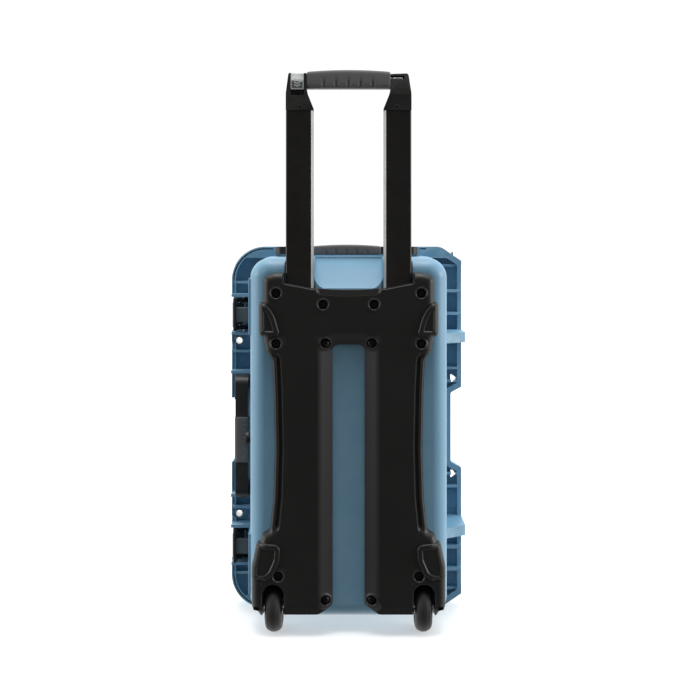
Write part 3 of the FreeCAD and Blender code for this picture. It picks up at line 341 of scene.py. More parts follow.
# %% [markdown]
# ## From CAD solid to moulded part
# Most pieces already have the right shape in the CAD model, but a real moulding has no
# knife-sharp edge. `moulded` copies a node's mesh, welds its loose triangles, dissolves flat
# areas into clean faces, rounds the edges with a bevel and weights the normals, so that flats
# stay flat and edges catch the light. The CAD node itself is left alone and hidden.

# %% Moulded copies
FINISHED = []


def add_piece(name, mesh, body, slot, *nodes):
    """Put a finished mesh in the scene: its finish, the body it rides on, what it stands for."""
    piece = bpy.data.objects.new(name, mesh)
    bpy.context.scene.collection.objects.link(piece)
    mesh.materials.clear()
    mesh.materials.append(FINISHES[slot])
    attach(piece, body)
    if nodes:
        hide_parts(*nodes)
    FINISHED.append(piece)
    return piece


def welded(nodes):
    """One bmesh with the meshes of some CAD nodes, welded and with flat areas dissolved."""
    bm = bmesh.new()
    for node in nodes:
        bm.from_mesh(frame["nodes"][node].data)
    bmesh.ops.remove_doubles(bm, verts=bm.verts, dist=0.004 * MM)
    bmesh.ops.dissolve_degenerate(bm, edges=bm.edges, dist=0.002 * MM)
    bmesh.ops.dissolve_limit(bm, verts=bm.verts, edges=bm.edges, angle_limit=math.radians(0.6))
    return bm


def as_mesh(bm, name, sharp=30.0):
    """Turn a bmesh into a smooth-shaded mesh whose steep edges stay sharp."""
    mesh = bpy.data.meshes.new(name)
    bm.to_mesh(mesh)
    bm.free()
    mesh.shade_smooth()
    mesh.set_sharp_from_angle(angle=math.radians(sharp))
    return mesh


def soften(piece, width, segments=2, angle=32.0):
    """Round a piece's edges with a bevel, then weight its normals."""
    bevel = piece.modifiers.new("edge_round", "BEVEL")
    bevel.width = width * MM
    bevel.segments = segments
    bevel.limit_method = "ANGLE"
    bevel.angle_limit = math.radians(angle)
    bevel.use_clamp_overlap = True
    bevel.harden_normals = False
    weight = piece.modifiers.new("weighted", "WEIGHTED_NORMAL")
    weight.keep_sharp = False
    return piece


def moulded(node, body, slot, width=0.6, segments=2, also=()):
    """A CAD node's finished twin, with rounded edges."""
    nodes = (node, *also)
    mesh = as_mesh(welded(nodes), node + "_skin", 60.0)
    piece = add_piece(node + "_skin", mesh, body, slot, *nodes)
    return soften(piece, width, segments)


moulded("base_shell", "base", "shell_resin", 0.8, also=("padlock_eyes_base",))
moulded("lid_shell", "lid", "shell_resin", 0.9, also=("padlock_eyes_lid",))
print("shells:", [piece.name for piece in FINISHED])


# %% [markdown]
# ## Relief panels
# The trolley cover and its corner bumpers are flat mouldings whose face rises and falls with
# the distance from their edge: a rounded rim, a groove, a ridge, a sloping band round the slot.
# `relief_panel` works that way. It samples the outline, adds rows of points at chosen
# distances inside it, joins them with a constrained Delaunay triangulation and then gives each
# point its depth by a rule. Walls go back from the edge, and round pockets hold the screws.

# %% Outlines with rounded corners
def rounded_loop(corners, step=3.0):
    """Dense closed outline; each corner is (x, z, radius, tag of the edge that follows it)."""
    points, tags = [], []
    count = len(corners)
    for index, (x, z, radius, tag) in enumerate(corners):
        here = np.array((x, z), float)
        before = np.array(corners[index - 1][:2], float) - here
        after = np.array(corners[(index + 1) % count][:2], float) - here
        before /= np.linalg.norm(before)
        after /= np.linalg.norm(after)
        half = math.acos(float(np.clip(before @ after, -1, 1))) / 2
        if radius <= 0 or half > 1.55:
            points.append(here)
            tags.append(tag)
            continue
        centre = here + (before + after) / np.linalg.norm(before + after) * radius / math.sin(half)
        start = here + before * radius / math.tan(half) - centre
        end = here + after * radius / math.tan(half) - centre
        first = math.atan2(start[1], start[0])
        turn = (math.atan2(end[1], end[0]) - first + math.pi) % (2 * math.pi) - math.pi
        pieces = max(3, int(abs(turn) * radius / min(step, 0.3 * radius + 0.3)))
        for part in range(pieces + 1):
            angle = first + turn * part / pieces
            points.append(centre + radius * np.array((math.cos(angle), math.sin(angle))))
            tags.append(tag if part == pieces else corners[index - 1][3])
    dense, dense_tags = [], []
    for index, point in enumerate(points):
        following = points[(index + 1) % len(points)]
        gap = np.linalg.norm(following - point)
        pieces = max(1, int(math.ceil(gap / step)))
        for part in range(pieces):
            if gap > 1e-4:
                dense.append(point + (following - point) * part / pieces)
                dense_tags.append(tags[index])
    return np.array(dense), dense_tags


def loop_distance(points, loop, chosen=None):
    """Distance of each point to a closed outline, or only to its chosen segments."""
    starts, ends = loop, np.roll(loop, -1, axis=0)
    if chosen is not None:
        starts, ends = starts[chosen], ends[chosen]
    if len(starts) == 0:
        return np.full(len(points), 1e3)
    best = np.full(len(points), 1e9)
    along = ends - starts
    squared = (along ** 2).sum(1)
    for start, run, length in zip(starts, along, squared):
        offset = points - start
        share = np.clip(offset @ run / length, 0, 1)
        best = np.minimum(best, ((offset - share[:, None] * run) ** 2).sum(1))
    return np.sqrt(best)


def inside(points, loop):
    """Which points lie inside a closed outline."""
    x, z = points[:, 0], points[:, 1]
    found = np.zeros(len(points), bool)
    for (x1, z1), (x2, z2) in zip(loop, np.roll(loop, -1, axis=0)):
        if z1 != z2:
            crosses = ((z1 > z) != (z2 > z)) & (x < (x2 - x1) * (z - z1) / (z2 - z1) + x1)
            found ^= crosses
    return found


# %% Relief panel
def ring_points(loop, distances, others):
    """Points at chosen distances inside a loop, left out where another edge is nearer."""
    ahead = np.roll(loop, -1, axis=0) - np.roll(loop, 1, axis=0)
    normal = np.stack((-ahead[:, 1], ahead[:, 0]), 1) / np.linalg.norm(ahead, axis=1)[:, None]
    probe = loop + normal * 0.01
    if not inside(probe[:1], loop)[0]:
        normal = -normal
    rows = []
    for distance in distances:
        row = loop + normal * distance
        clear = loop_distance(row, loop) > distance - 0.12
        for other, margin in others:
            clear &= loop_distance(row, other) > margin
            clear &= ~inside(row, other)
        rows.append(row[clear & inside(row, loop)])
    return np.concatenate(rows) if rows else np.zeros((0, 2))


def relief_panel(loop, pockets, rings, face, wall_back, wall_on, coarse=9.0):
    """bmesh of a panel: face(points) gives Y of its front, wall_back(points) Y of its edge.

    Pockets are (loop, rim distances, depth): holes whose walls go in and end in a floor.
    """
    pocket_loops = [pocket[0] for pocket in pockets]
    points = [loop]
    edges = [(index, (index + 1) % len(loop)) for index in range(len(loop))]
    used = len(loop)
    for pocket in pocket_loops:
        points.append(pocket)
        edges += [(used + index, used + (index + 1) % len(pocket)) for index in range(len(pocket))]
        used += len(pocket)
    guard = [(pocket, 3.4) for pocket in pocket_loops]
    free = [ring_points(loop, rings, guard)]
    for pocket, rims, depth in pockets:
        middle = pocket.mean(0)
        for rim in rims:
            reach = np.linalg.norm(pocket - middle, axis=1)[:, None]
            free.append(middle + (pocket - middle) * (reach + rim) / reach)
    low, high = loop.min(0), loop.max(0)
    grid = np.stack(np.meshgrid(np.arange(low[0], high[0], coarse), np.arange(low[1], high[1], coarse)),
                    -1).reshape(-1, 2)
    clear = inside(grid, loop) & (loop_distance(grid, loop) > max(rings) + coarse * 0.4)
    for pocket in pocket_loops:
        clear &= loop_distance(grid, pocket) > 5
        clear &= ~inside(grid, pocket)
    free.append(grid[clear])
    points += free
    flat = np.concatenate(points)
    found = delaunay_2d_cdt([Vector(point) for point in flat], edges, [], 0, 1e-5)
    corners = np.array([list(point) for point in found[0]])
    triangles = np.array([face for face in found[2] if len(face) == 3])
    centres = corners[triangles].mean(1)
    keep = inside(centres, loop)
    for pocket in pocket_loops:
        keep &= ~inside(centres, pocket)
    depth = face(corners)
    bm = bmesh.new()
    verts = [bm.verts.new(at(x, y, z)) for (x, z), y in zip(corners, depth)]
    for triangle in triangles[keep]:
        bm.faces.new([verts[index] for index in triangle])
    where = {}
    for new, olds in enumerate(found[3]):
        for old in olds:
            where[old] = new
    edge_back = wall_back(loop)
    on_wall = wall_on(loop)
    backs = {}
    for index in range(len(loop)):
        backs[index] = bm.verts.new(at(loop[index][0], edge_back[index], loop[index][1]))
    for index in range(len(loop)):
        following = (index + 1) % len(loop)
        if on_wall[index] and on_wall[following]:
            bm.faces.new((verts[where[index]], verts[where[following]], backs[following], backs[index]))
    used = len(loop)
    for pocket, rims, deep in pockets:
        rim = [verts[where[used + index]] for index in range(len(pocket))]
        floor_y = float(face(pocket).mean()) + deep
        ring = [bm.verts.new(at(x, floor_y, z)) for x, z in pocket]
        for index in range(len(pocket)):
            following = (index + 1) % len(pocket)
            bm.faces.new((rim[index], rim[following], ring[following], ring[index]))
        bm.faces.new(ring)
        used += len(pocket)
    for vert in [vert for vert in bm.verts if not vert.link_faces]:
        bm.verts.remove(vert)
    bmesh.ops.recalc_face_normals(bm, faces=bm.faces)
    front = max(bm.faces, key=lambda item: item.calc_area() if len(item.verts) == 3 else 0)
    if front.normal.y > 0:
        bmesh.ops.reverse_faces(bm, faces=bm.faces)
    return bm


def disc(x, z, radius, count=36):
    """Outline of a round pocket."""
    angles = np.linspace(0, 2 * math.pi, count, endpoint=False)
    return np.stack((x + radius * np.cos(angles), z + radius * np.sin(angles)), 1)


def smooth(value, low, high):
    """Smooth step of an array from 0 at low to 1 at high."""
    share = np.clip((value - low) / (high - low), 0, 1)
    return share * share * (3 - 2 * share)


def round_rim(distance, radius):
    """How far a rounded rim lies behind the face, at a distance from the edge."""
    rest = np.clip(radius - distance, 0, radius)
    return radius - np.sqrt(radius ** 2 - rest ** 2)


# %% [markdown]
# ## Trolley cover
# The black cover holds the two handle tubes against the case. It is waisted for the lifting
# hand, has a bead and a groove along the waist, a wide sloping band down both sides of the
# slot, a lip under the hand scoop, arches over the wheels, and twelve screw pockets with
# raised rims. It is one moulding 2.4 mm thick, so a Solidify modifier gives its wall.

# %% Trolley cover outline
FACE_Y = (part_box("trolley_plate")[0].y - SEAM) / MM
BACK_Y = -147.0
COVER_WALL = 2.4
COVER_HALF = [
    (23, 45, 6, "foot"), (44, 33, 10, "foot"), (92.5, 33, 0.8, "arch"), (92.5, 76, 15.3, "arch"),
    (123.5, 76, 15.3, "arch"), (123.5, 30, 0.6, "edge"), (125.5, 30, 0.6, "edge"),
    (130, 35.5, 3, "edge"), (139, 39, 9, "edge"), (139, 86, 12, "edge"), (126.6, 137, 6, "edge"),
    (123.3, 146.5, 5, "edge"), (112.6, 152.5, 9, "edge"), (108, 200, 60, "edge"),
    (106, 270, 90, "edge"), (107.7, 354, 60, "edge"), (109.8, 397, 10, "edge"),
    (118.8, 409, 9, "edge"), (123, 436, 20, "edge"), (123, 516, 10, "edge"),
    (107, 521, 20, "edge"), (93.2, 521.5, 1, "mouth"), (92.8, 507, 3, "mouth"),
    (54, 499.5, 10, "mouth"),
]
left_half = [(-x, z, radius) for x, z, radius, tag in reversed(COVER_HALF)]
right_tags = [tag for x, z, radius, tag in COVER_HALF]
left_tags = list(reversed(right_tags[:-1])) + ["slot"]
cover_corners = COVER_HALF + [(0, 495.4, 400, "mouth")]
cover_corners += [(*corner, tag) for corner, tag in zip(left_half, left_tags)]
cover_corners += [(-23, 418, 8, "slot"), (23, 418, 8, "slot")]
cover_loop, cover_tags = rounded_loop(cover_corners, 2.6)
cover_tags = np.array(cover_tags)
print("cover outline: %d points" % len(cover_loop))

# %% Trolley cover face
SCREWS = [(103.8, 492), (36.4, 476), (103.6, 420), (33.3, 420.5), (100.6, 88), (33.4, 52.5)]
SCREW_SPOTS = [(side * x, z) for x, z in SCREWS for side in (-1, 1)]
HOLE = 7.0
POCKET_DEEP = 5.4


def waist_groove(distance):
    """Bead, groove and ridge along the waist, as depth behind the face."""
    bead = 1.6 + round_rim(distance, 4.2) * 2.4
    groove = 1.6 + 3.2 * smooth(distance, 4.2, 9.8)
    ridge = 4.8 - 4.8 * smooth(distance, 10.4, 13.6)
    return np.where(distance < 4.2, bead, np.where(distance < 10.0, groove, ridge))


def cover_face(points):
    """Y of the cover's front at each point."""
    across = np.abs(points[:, 0])
    high = points[:, 1]
    edge = loop_distance(points, cover_loop, cover_tags == "edge")
    waist = smooth(high, 150, 160) * (1 - smooth(high, 398, 410)) * (across > 60)
    shoulder = round_rim(edge, 11.0)
    depth = shoulder * (1 - waist) + waist_groove(edge) * waist
    slot = loop_distance(points, cover_loop, cover_tags == "slot")
    depth = np.maximum(depth, 12.0 * np.clip(1 - slot / 21, 0, 1))
    mouth = loop_distance(points, cover_loop, cover_tags == "mouth")
    lip = 8.6 - 6.8 * smooth(across, 41, 46)
    depth = np.maximum(depth, np.where(mouth < lip, 1.6 + 2.2 * np.clip(1 - mouth / lip, 0, 1), 0))
    foot = loop_distance(points, cover_loop, cover_tags == "foot")
    depth = np.maximum(depth, 2.6 * np.clip(1 - foot / 10.5, 0, 1))
    arch = loop_distance(points, cover_loop, cover_tags == "arch")
    depth = np.maximum(depth, round_rim(arch, 1.6))
    stowed_cap = (across > 46) & (across < 94) & (mouth < 14)
    depth = np.where(stowed_cap, np.minimum(depth, 1.2), depth)
    for x, z in SCREW_SPOTS:
        reach = np.hypot(points[:, 0] - x, points[:, 1] - z) - HOLE
        depth = depth - 0.9 * (1 - smooth(reach, 1.2, 2.4)) * smooth(reach, -0.1, 0.9)
    return FACE_Y + depth


def pocket_floor(x, z):
    """Y of the floor of a screw's pocket, below the mean height of its rim."""
    return float(cover_face(disc(x, z, HOLE)).mean()) + POCKET_DEEP


def shell_back(points):
    """Y of the shell's back behind each point, where its sides and its foot round away."""
    aside = np.clip(np.abs(points[:, 0]) - 124, 0, 21)
    below = np.clip(36 - points[:, 1], 0, 21)
    reach = np.clip(np.hypot(aside, below), 0, 21)
    return BACK_Y + 22 - np.sqrt(22 ** 2 - reach ** 2) + 1.0


def cover_wall(points):
    """Where the cover has a side wall: not where the tubes come out or the lock bolts pass."""
    across = np.abs(points[:, 0])
    open_mouth = (cover_tags == "mouth") & (across > 46)
    bolt_way = (cover_tags == "arch") & (across < 95) & (points[:, 1] > 44) & (points[:, 1] < 65)
    return ~(open_mouth | bolt_way)


cover_pockets = [(disc(x, z, HOLE), (0.9, 1.7, 2.6), POCKET_DEEP) for x, z in SCREW_SPOTS]
for side in (-1, 1):
    notch = rounded_loop([(side * 127.5, 37.5, 1, ""), (side * 135.2, 39, 1, ""),
                          (side * 136.5, 44.5, 1, ""), (side * 127.5, 44.5, 1, "")], 2.0)[0]
    cover_pockets.append((notch, (), 5.0))
RINGS = (0.5, 1.2, 2.2, 3.2, 4.2, 5.6, 7.0, 8.4, 8.7, 9.8, 10.6, 11.6, 12.6, 13.6, 14.6, 20.9, 21.5)
cover_bm = relief_panel(cover_loop, cover_pockets, RINGS, cover_face, shell_back, cover_wall)
print("cover: %d faces" % len(cover_bm.faces))
cover = add_piece("trolley_cover", as_mesh(cover_bm, "trolley_cover", 38.0), "base", "black_resin",
                  "trolley_plate")
wall = cover.modifiers.new("wall", "SOLIDIFY")
wall.thickness = COVER_WALL * MM
wall.offset = -1
wall.use_even_offset = False

# %% [markdown]
# ## Corner bumpers
# Four D-shaped rub pads stand 3 mm proud of the cover, where the case meets kerbs and stairs.
# Each has a rounded border and a slightly sunk field. They are the same kind of relief panel.

# %% Corner bumpers
BUMPER_Y = (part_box("bumper_upper_left")[0].y - SEAM) / MM
BUMPERS = {
    "upper": [(128.6, 430, 6, ""), (128.6, 481, 5, ""), (119, 478, 10, ""), (106.5, 463, 50, ""),
              (97.0, 430.2, 6, "")],
    "lower": [(138.9, 82.5, 4, ""), (138.4, 104, 30, ""), (131.5, 136.2, 6, ""), (97.2, 133, 9, ""),
              (98.6, 110, 20, ""), (109.5, 85, 22, ""), (124, 81, 20, "")],
}
BORDER = 6.6


def bumper(label, side):
    """One bumper pad: outline, rounded border, sunk field."""
    outline = [(side * x, z, radius, tag) for x, z, radius, tag in BUMPERS[label]]
    loop, tags = rounded_loop(outline, 1.6)
    outer = np.abs(loop[:, 0]) > (121 if label == "upper" else 124)

    def pad_face(points):
        distance = loop_distance(points, loop)
        beside = loop_distance(points, loop, outer)
        border = round_rim(distance, 2.6)
        field = 1.3 * smooth(distance, BORDER, BORDER + 1.6)
        return BUMPER_Y + np.maximum(np.maximum(border, field), round_rim(beside, 9.0))

    def pad_back(points):
        return np.where(outer, shell_back(points), FACE_Y + 4.5)

    rings = (0.4, 1.0, 1.8, 2.6, 4.0, 5.4, BORDER, BORDER + 0.8, BORDER + 1.6, BORDER + 3.2)
    bm = relief_panel(loop, [], rings, pad_face, pad_back, lambda points: np.full(len(points), True), 4.0)
    name = "bumper_%s_%s" % (label, "left" if side < 0 else "right")
    edge = [item for item in bm.edges if item.is_boundary]
    bmesh.ops.holes_fill(bm, edges=edge, sides=0)
    bmesh.ops.recalc_face_normals(bm, faces=bm.faces)
    return add_piece(name + "_pad", as_mesh(bm, name + "_pad", 38.0), "base", "black_resin", name)


for label in BUMPERS:
    for side in (-1, 1):
        pad = bumper(label, side)
        print(pad.name, len(pad.data.polygons), "faces")

# %% [markdown]
# ## Moulded and turned hardware
# Pins, tubes, bushes, caps and latches come straight from the CAD shapes. What changes from
# one to the next is how round an edge is: a pressed steel pin has almost none, a tube's long
# edges have a small one, and the black latch levers are moulded with a generous one.

# %% Hardware
HARDWARE = [
    ("base", "black_resin", 0.5, "guide_bush_left guide_bush_right pressure_valve"),
    ("base", "steel", 0.3, "axle_left axle_right hinge_pins latch_pins side_handle_pins "
                           "top_handle_pins padlock_sleeves_base"),
    ("lid", "steel", 0.3, "padlock_sleeves_lid"),
    ("lid", "seal_rubber", 0.5, "lid_gasket"),
    ("trolley", "handle_tube", 0.5, "tube_left tube_right"),
    # The tube trims carry the painted reflection of the tubes' inner edges.
    ("trolley", "bright_strip", 0.3, "tube_trim_left tube_trim_right"),
    ("trolley", "black_resin", 0.9, "cap_left cap_right"),
    ("trolley", "black_resin", 0.4, "tube_shoe_left tube_shoe_right grip_core"),
    ("release", "steel", 0.3, "release_link push_rod_left push_rod_right"),
    ("lock_bolt_left", "steel", 0.4, "lock_bolt_left"),
    ("lock_bolt_right", "steel", 0.4, "lock_bolt_right"),
    ("side_handle", "black_resin", 1.6, "side_handle_bail"),
    ("top_handle", "black_resin", 3.4, "top_handle_bail"),
    ("latch_lever_upper", "black_resin", 0.9, "latch_lever_upper"),
    ("latch_lever_lower", "black_resin", 0.9, "latch_lever_lower"),
    ("latch_lever_upper", "steel", 0.2, "claw_pin_upper"),
    ("latch_lever_lower", "steel", 0.2, "claw_pin_lower"),
    ("latch_claw_upper", "black_resin", 0.7, "latch_claw_upper"),
    ("latch_claw_lower", "black_resin", 0.7, "latch_claw_lower"),
    ("latch_lock_upper", "grey_resin", 0.8, "latch_lock_upper"),
    ("latch_lock_lower", "grey_resin", 0.8, "latch_lock_lower"),
    ("wheel_left", "wheel_hub", 0.5, "hub_left"),
    ("wheel_right", "wheel_hub", 0.5, "hub_right"),
    ("wheel_left", "steel", 0.3, "bearings_left"),
    ("wheel_right", "steel", 0.3, "bearings_right"),
]
owner = {node: item.get("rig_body") for node, item in frame["nodes"].items()}
for body, finish, width, nodes in HARDWARE:
    for node in nodes.split():
        if owner[node] != body:
            raise ValueError("%s rides on %s, not on %s" % (node, owner[node], body))
        moulded(node, body, finish, width, 3 if width > 0.8 else 2)
print("hardware pieces:", len(FINISHED))

# %% [markdown]
# ## Tyres
# A small luggage tyre is a solid ring with a fully round tread, turned by rotating one section
# round the axle. The section bulges like half an ellipse, so the wheel has a narrow rounded foot from
# behind, and two fine grooves mark where the mould halves met.

# %% Tyres
def turned(name, profile, axis_y, axis_z, steps=96):
    """Closed profile of (X, radius) in millimetres turned about an axle along X."""
    bm = bmesh.new()
    rings = []
    for step in range(steps):
        angle = 2 * math.pi * step / steps
        away, up = math.cos(angle), math.sin(angle)
        rings.append([bm.verts.new(at(x, axis_y + radius * away, axis_z + radius * up))
                      for x, radius in profile])
    for step in range(steps):
        ring, following = rings[step], rings[(step + 1) % steps]
        for index in range(len(profile)):
            after = (index + 1) % len(profile)
            bm.faces.new((ring[index], ring[after], following[after], following[index]))
    bmesh.ops.recalc_face_normals(bm, faces=bm.faces)
    return as_mesh(bm, name, 40.0)


for side in ("left", "right"):
    low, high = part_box("tyre_" + side)
    middle = ((low.x + high.x) / 2 - MIDDLE) / MM
    half = (high.x - low.x) / 2 / MM
    axle_y, axle_z = ((low.y + high.y) / 2 - SEAM) / MM, (low.z + high.z) / 2 / MM
    outer = (high.z - low.z) / 2 / MM
    section = []
    for part in range(25):
        angle = math.pi * part / 24
        across = -half * math.cos(angle)
        crown = outer - 12.0 + 12.0 * math.sin(angle) ** 0.8
        if part in (8, 16):
            crown -= 0.5
        section.append((middle + across, crown))
    section += [(middle + half, 25.1), (middle - half, 25.1)]
    add_piece("tyre_%s_skin" % side, turned("tyre_%s_skin" % side, section, axle_y, axle_z),
              "wheel_" + side, "wheel_tyre", "tyre_" + side)
print("tyres: section of", len(section), "points")

# %% [markdown]
# ## Screws, by Geometry Nodes
# Twelve pan-head screws sit at the bottom of the cover's pockets. One screw is modelled once,
# and a node tree places it on points, turns each by its own angle as a driver leaves them, and
# realises the copies into one mesh. The turn comes from a fixed seed.

# %% One screw
def screw_mesh():
    """Pan head with a six-lobed socket, facing -Y, at the origin, in metres."""
    bm = bmesh.new()
    rows = [(0.0, 0.0), (5.2, 0.0), (5.2, 1.2), (4.5, 2.1), (3.2, 2.6), (2.3, 2.65), (1.9, 1.1), (0.0, 1.1)]
    count = 30
    rings = []
    for radius, height in rows[1:-1]:
        ring = []
        for step in range(count):
            angle = 2 * math.pi * step / count
            lobe = 1 + 0.13 * math.cos(6 * angle) if radius < 2.5 else 1.0
            ring.append(bm.verts.new((radius * lobe * math.cos(angle) * MM, -height * MM,
                                      radius * lobe * math.sin(angle) * MM)))
        rings.append(ring)
    for first, second in zip(rings, rings[1:]):
        for step in range(count):
            after = (step + 1) % count
            bm.faces.new((first[step], first[after], second[after], second[step]))
    bm.faces.new(rings[0])
    bm.faces.new(rings[-1])
    bmesh.ops.recalc_face_normals(bm, faces=bm.faces)
    return as_mesh(bm, "one_screw", 35.0)


one_screw = bpy.data.objects.new("one_screw", screw_mesh())
print("one screw:", len(one_screw.data.polygons), "faces")


# %% Geometry Nodes helpers
def node_tree(name, inputs):
    """Geometry tree with a geometry in and out and more named inputs of (label, type)."""
    tree = bpy.data.node_groups.new(name, "GeometryNodeTree")
    tree.interface.new_socket("Geometry", in_out="INPUT", socket_type="NodeSocketGeometry")
    tree.interface.new_socket("Geometry", in_out="OUTPUT", socket_type="NodeSocketGeometry")
    for label, kind in inputs:
        tree.interface.new_socket(label, in_out="INPUT", socket_type=kind)
    return tree, tree.nodes.new("NodeGroupInput"), tree.nodes.new("NodeGroupOutput")


def run_nodes(mesh, tree, **values):
    """Evaluate a tree on a mesh with named inputs and return the plain mesh it makes."""
    holder = bpy.data.objects.new("nodes_holder", mesh)
    bpy.context.scene.collection.objects.link(holder)
    modifier = holder.modifiers.new("nodes", "NODES")
    modifier.node_group = tree
    sockets = {item.name: item.identifier for item in tree.interface.items_tree
               if item.item_type == "SOCKET" and item.in_out == "INPUT"}
    for label, value in values.items():
        modifier[sockets[label]] = value
    bpy.context.view_layer.update()
    made = bpy.data.meshes.new_from_object(holder.evaluated_get(bpy.context.evaluated_depsgraph_get()))
    holder.modifiers.clear()
    bpy.data.objects.remove(holder)
    return made


# %% Screws on their points
screw_tree, screw_in, screw_out = node_tree("place_screws", [
    ("Screw", "NodeSocketObject"), ("Seed", "NodeSocketInt"), ("Finish", "NodeSocketMaterial")])
screw_object = screw_tree.nodes.new("GeometryNodeObjectInfo")
turn = screw_tree.nodes.new("FunctionNodeRandomValue")
turn.data_type = "FLOAT"
turn.inputs["Max"].default_value = math.pi
axis = screw_tree.nodes.new("ShaderNodeCombineXYZ")
copies = screw_tree.nodes.new("GeometryNodeInstanceOnPoints")
real = screw_tree.nodes.new("GeometryNodeRealizeInstances")
painted = screw_tree.nodes.new("GeometryNodeSetMaterial")
for source, target in (
    (screw_in.outputs["Geometry"], copies.inputs["Points"]),
    (screw_in.outputs["Screw"], screw_object.inputs["Object"]),
    (screw_object.outputs["Geometry"], copies.inputs["Instance"]),
    (screw_in.outputs["Seed"], turn.inputs["Seed"]),
    (turn.outputs[1], axis.inputs["Y"]),
    (axis.outputs["Vector"], copies.inputs["Rotation"]),
    (copies.outputs["Instances"], real.inputs["Geometry"]),
    (real.outputs["Geometry"], painted.inputs["Geometry"]),
    (screw_in.outputs["Finish"], painted.inputs["Material"]),
    (painted.outputs["Geometry"], screw_out.inputs["Geometry"]),
):
    screw_tree.links.new(source, target)

screw_points = bpy.data.meshes.new("screw_points")
screw_points.from_pydata([at(x, pocket_floor(x, z), z) for x, z in SCREW_SPOTS], [], [])
screws_mesh = run_nodes(screw_points, screw_tree, Screw=one_screw, Seed=11, Finish=FINISHES["black_screw"])
screws_mesh.name = "cover_screws"
add_piece("cover_screws", screws_mesh, "base", "black_screw", "plate_screws")
print("screws:", len(screws_mesh.polygons), "faces for", len(SCREW_SPOTS), "screws")

# %% [markdown]
# ## Soft grips
# A rubber grip is a sleeve moulded over a hard core, so it swells a little between its ends and
# has grooves where fingers go. The trolley's release link runs inside the core, so the sleeve
# has to be open right through. Each grip is lofted: a rounded section repeated along its length,
# its height following the crown and its back dented at every finger.

# %% Lofted grips
def lofted_grip(node, body, along, seat, crown, pitch, count, wide, deep, sign=-1):
    """Sleeve that fills a node's box round its seat (low Y, high Y, low and high across).

    Grooves lie on its back, in the half given by sign.
    """
    low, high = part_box(node)
    low = np.array([(low.x - MIDDLE) / MM, (low.y - SEAM) / MM, low.z / MM])
    high = np.array([(high.x - MIDDLE) / MM, (high.y - SEAM) / MM, high.z / MM])
    run = "XYZ".index(along)
    rise = 2 if along == "X" else 0
    middle, half = (low[run] + high[run]) / 2, (high[run] - low[run]) / 2
    places = middle + half * np.linspace(-1, 1, int(half * 2 / 0.8))
    angles = np.linspace(0, 2 * math.pi, 56, endpoint=False)
    bm = bmesh.new()
    rings, seats = [], []
    for place in places:
        share = (place - middle) / half
        top = high[rise] - crown * share ** 2
        end = 0.8 * smooth(np.array(abs(share)), 1 - 2.2 / half, 1.0)
        centre = (top + low[rise]) / 2
        ring, inner = [], []
        for angle in angles:
            cos, sin = math.cos(angle), math.sin(angle)
            back = math.copysign(abs(cos) ** 0.42, cos)
            up = math.copysign(abs(sin) ** 0.42, sin)
            point = np.zeros(3)
            point[run] = place
            point[1] = (low[1] + high[1]) / 2 + back * ((high[1] - low[1]) / 2 - end)
            point[rise] = centre + up * ((top - low[rise]) / 2 - end)
            for index in range(count):
                offset = place - middle - pitch * (index - (count - 1) / 2)
                dent = deep * math.exp(-(2 * offset / wide) ** 4)
                point[1] += dent * max(0.0, -back) * float(smooth(np.array(sign * up), 0.02, 0.38))
            ring.append(bm.verts.new(at(*point)))
            grow = 1 / max(abs(cos), abs(sin))
            point[1] = (seat[0] + seat[1]) / 2 + cos * grow * (seat[1] - seat[0]) / 2
            point[rise] = (seat[2] + seat[3]) / 2 + sin * grow * (seat[3] - seat[2]) / 2
            inner.append(bm.verts.new(at(*point)))
        rings.append(ring)
        seats.append(inner)
    strips = list(zip(rings, rings[1:])) + list(zip(seats, seats[1:]))
    strips += [(rings[0], seats[0]), (rings[-1], seats[-1])]
    for first, second in strips:
        for index in range(len(angles)):
            after = (index + 1) % len(angles)
            bm.faces.new((first[index], first[after], second[after], second[index]))
    bmesh.ops.recalc_face_normals(bm, faces=bm.faces)
    return add_piece(node + "_skin", as_mesh(bm, node + "_skin", 50.0), body, "grip_rubber", node)


lofted_grip("trolley_grip", "trolley", "X", (-158.6, -142.4, 785.7, 806.7), 2.6, 17.5, 5, 5.7, 2.0)
lofted_grip("top_handle_grip", "top_handle", "X", (-66.1, -50.9, 547.3, 559.1), 2.4, 15.4, 5, 5.0, 1.3)
lofted_grip("side_handle_grip", "side_handle", "Z", (-84.1, -65.9, -169.6, -150.4), 0.0, 6.0, 9, 3.0, 0.35, 1)
print("grips:", [piece.name for piece in FINISHED[-3:]])

# %% [markdown]
# ## Release button and rivets
# The button is silver above and grey below, where two small chevrons show which way to press.
# The caps are held by a rivet each, just above the tubes.

# %% Button, chevrons and rivets
def raised(name, outline, y_low, y_high, body, slot):
    """Thin raised figure: an outline of (x, z) between two depths."""
    bm = bmesh.new()
    front = [bm.verts.new(at(x, y_low, z)) for x, z in outline]
    back = [bm.verts.new(at(x, y_high, z)) for x, z in outline]
    bm.faces.new(front)
    bm.faces.new(back)
    for index in range(len(outline)):
        after = (index + 1) % len(outline)
        bm.faces.new((front[index], front[after], back[after], back[index]))
    bmesh.ops.recalc_face_normals(bm, faces=bm.faces)
    return soften(add_piece(name, as_mesh(bm, name, 40.0), body, slot), 0.15)


moulded("release_button", "release", "silver_plastic", 0.8, 3)
raised("button_field", [(-81.6, 785.4), (-65.5, 785.4), (-65.5, 794.2), (-81.6, 796.4)], -161.25, -160.6,
       "release", "grey_resin")
for index, height in enumerate((787.2, 790.8)):
    chevron = [(-78.0, height + 2.6), (-73.5, height), (-69.0, height + 2.6), (-69.0, height + 4.0),
               (-73.5, height + 1.4), (-78.0, height + 4.0)]
    raised("button_chevron_%d" % (index + 1), chevron, -161.6, -161.0, "release", "silver_plastic")

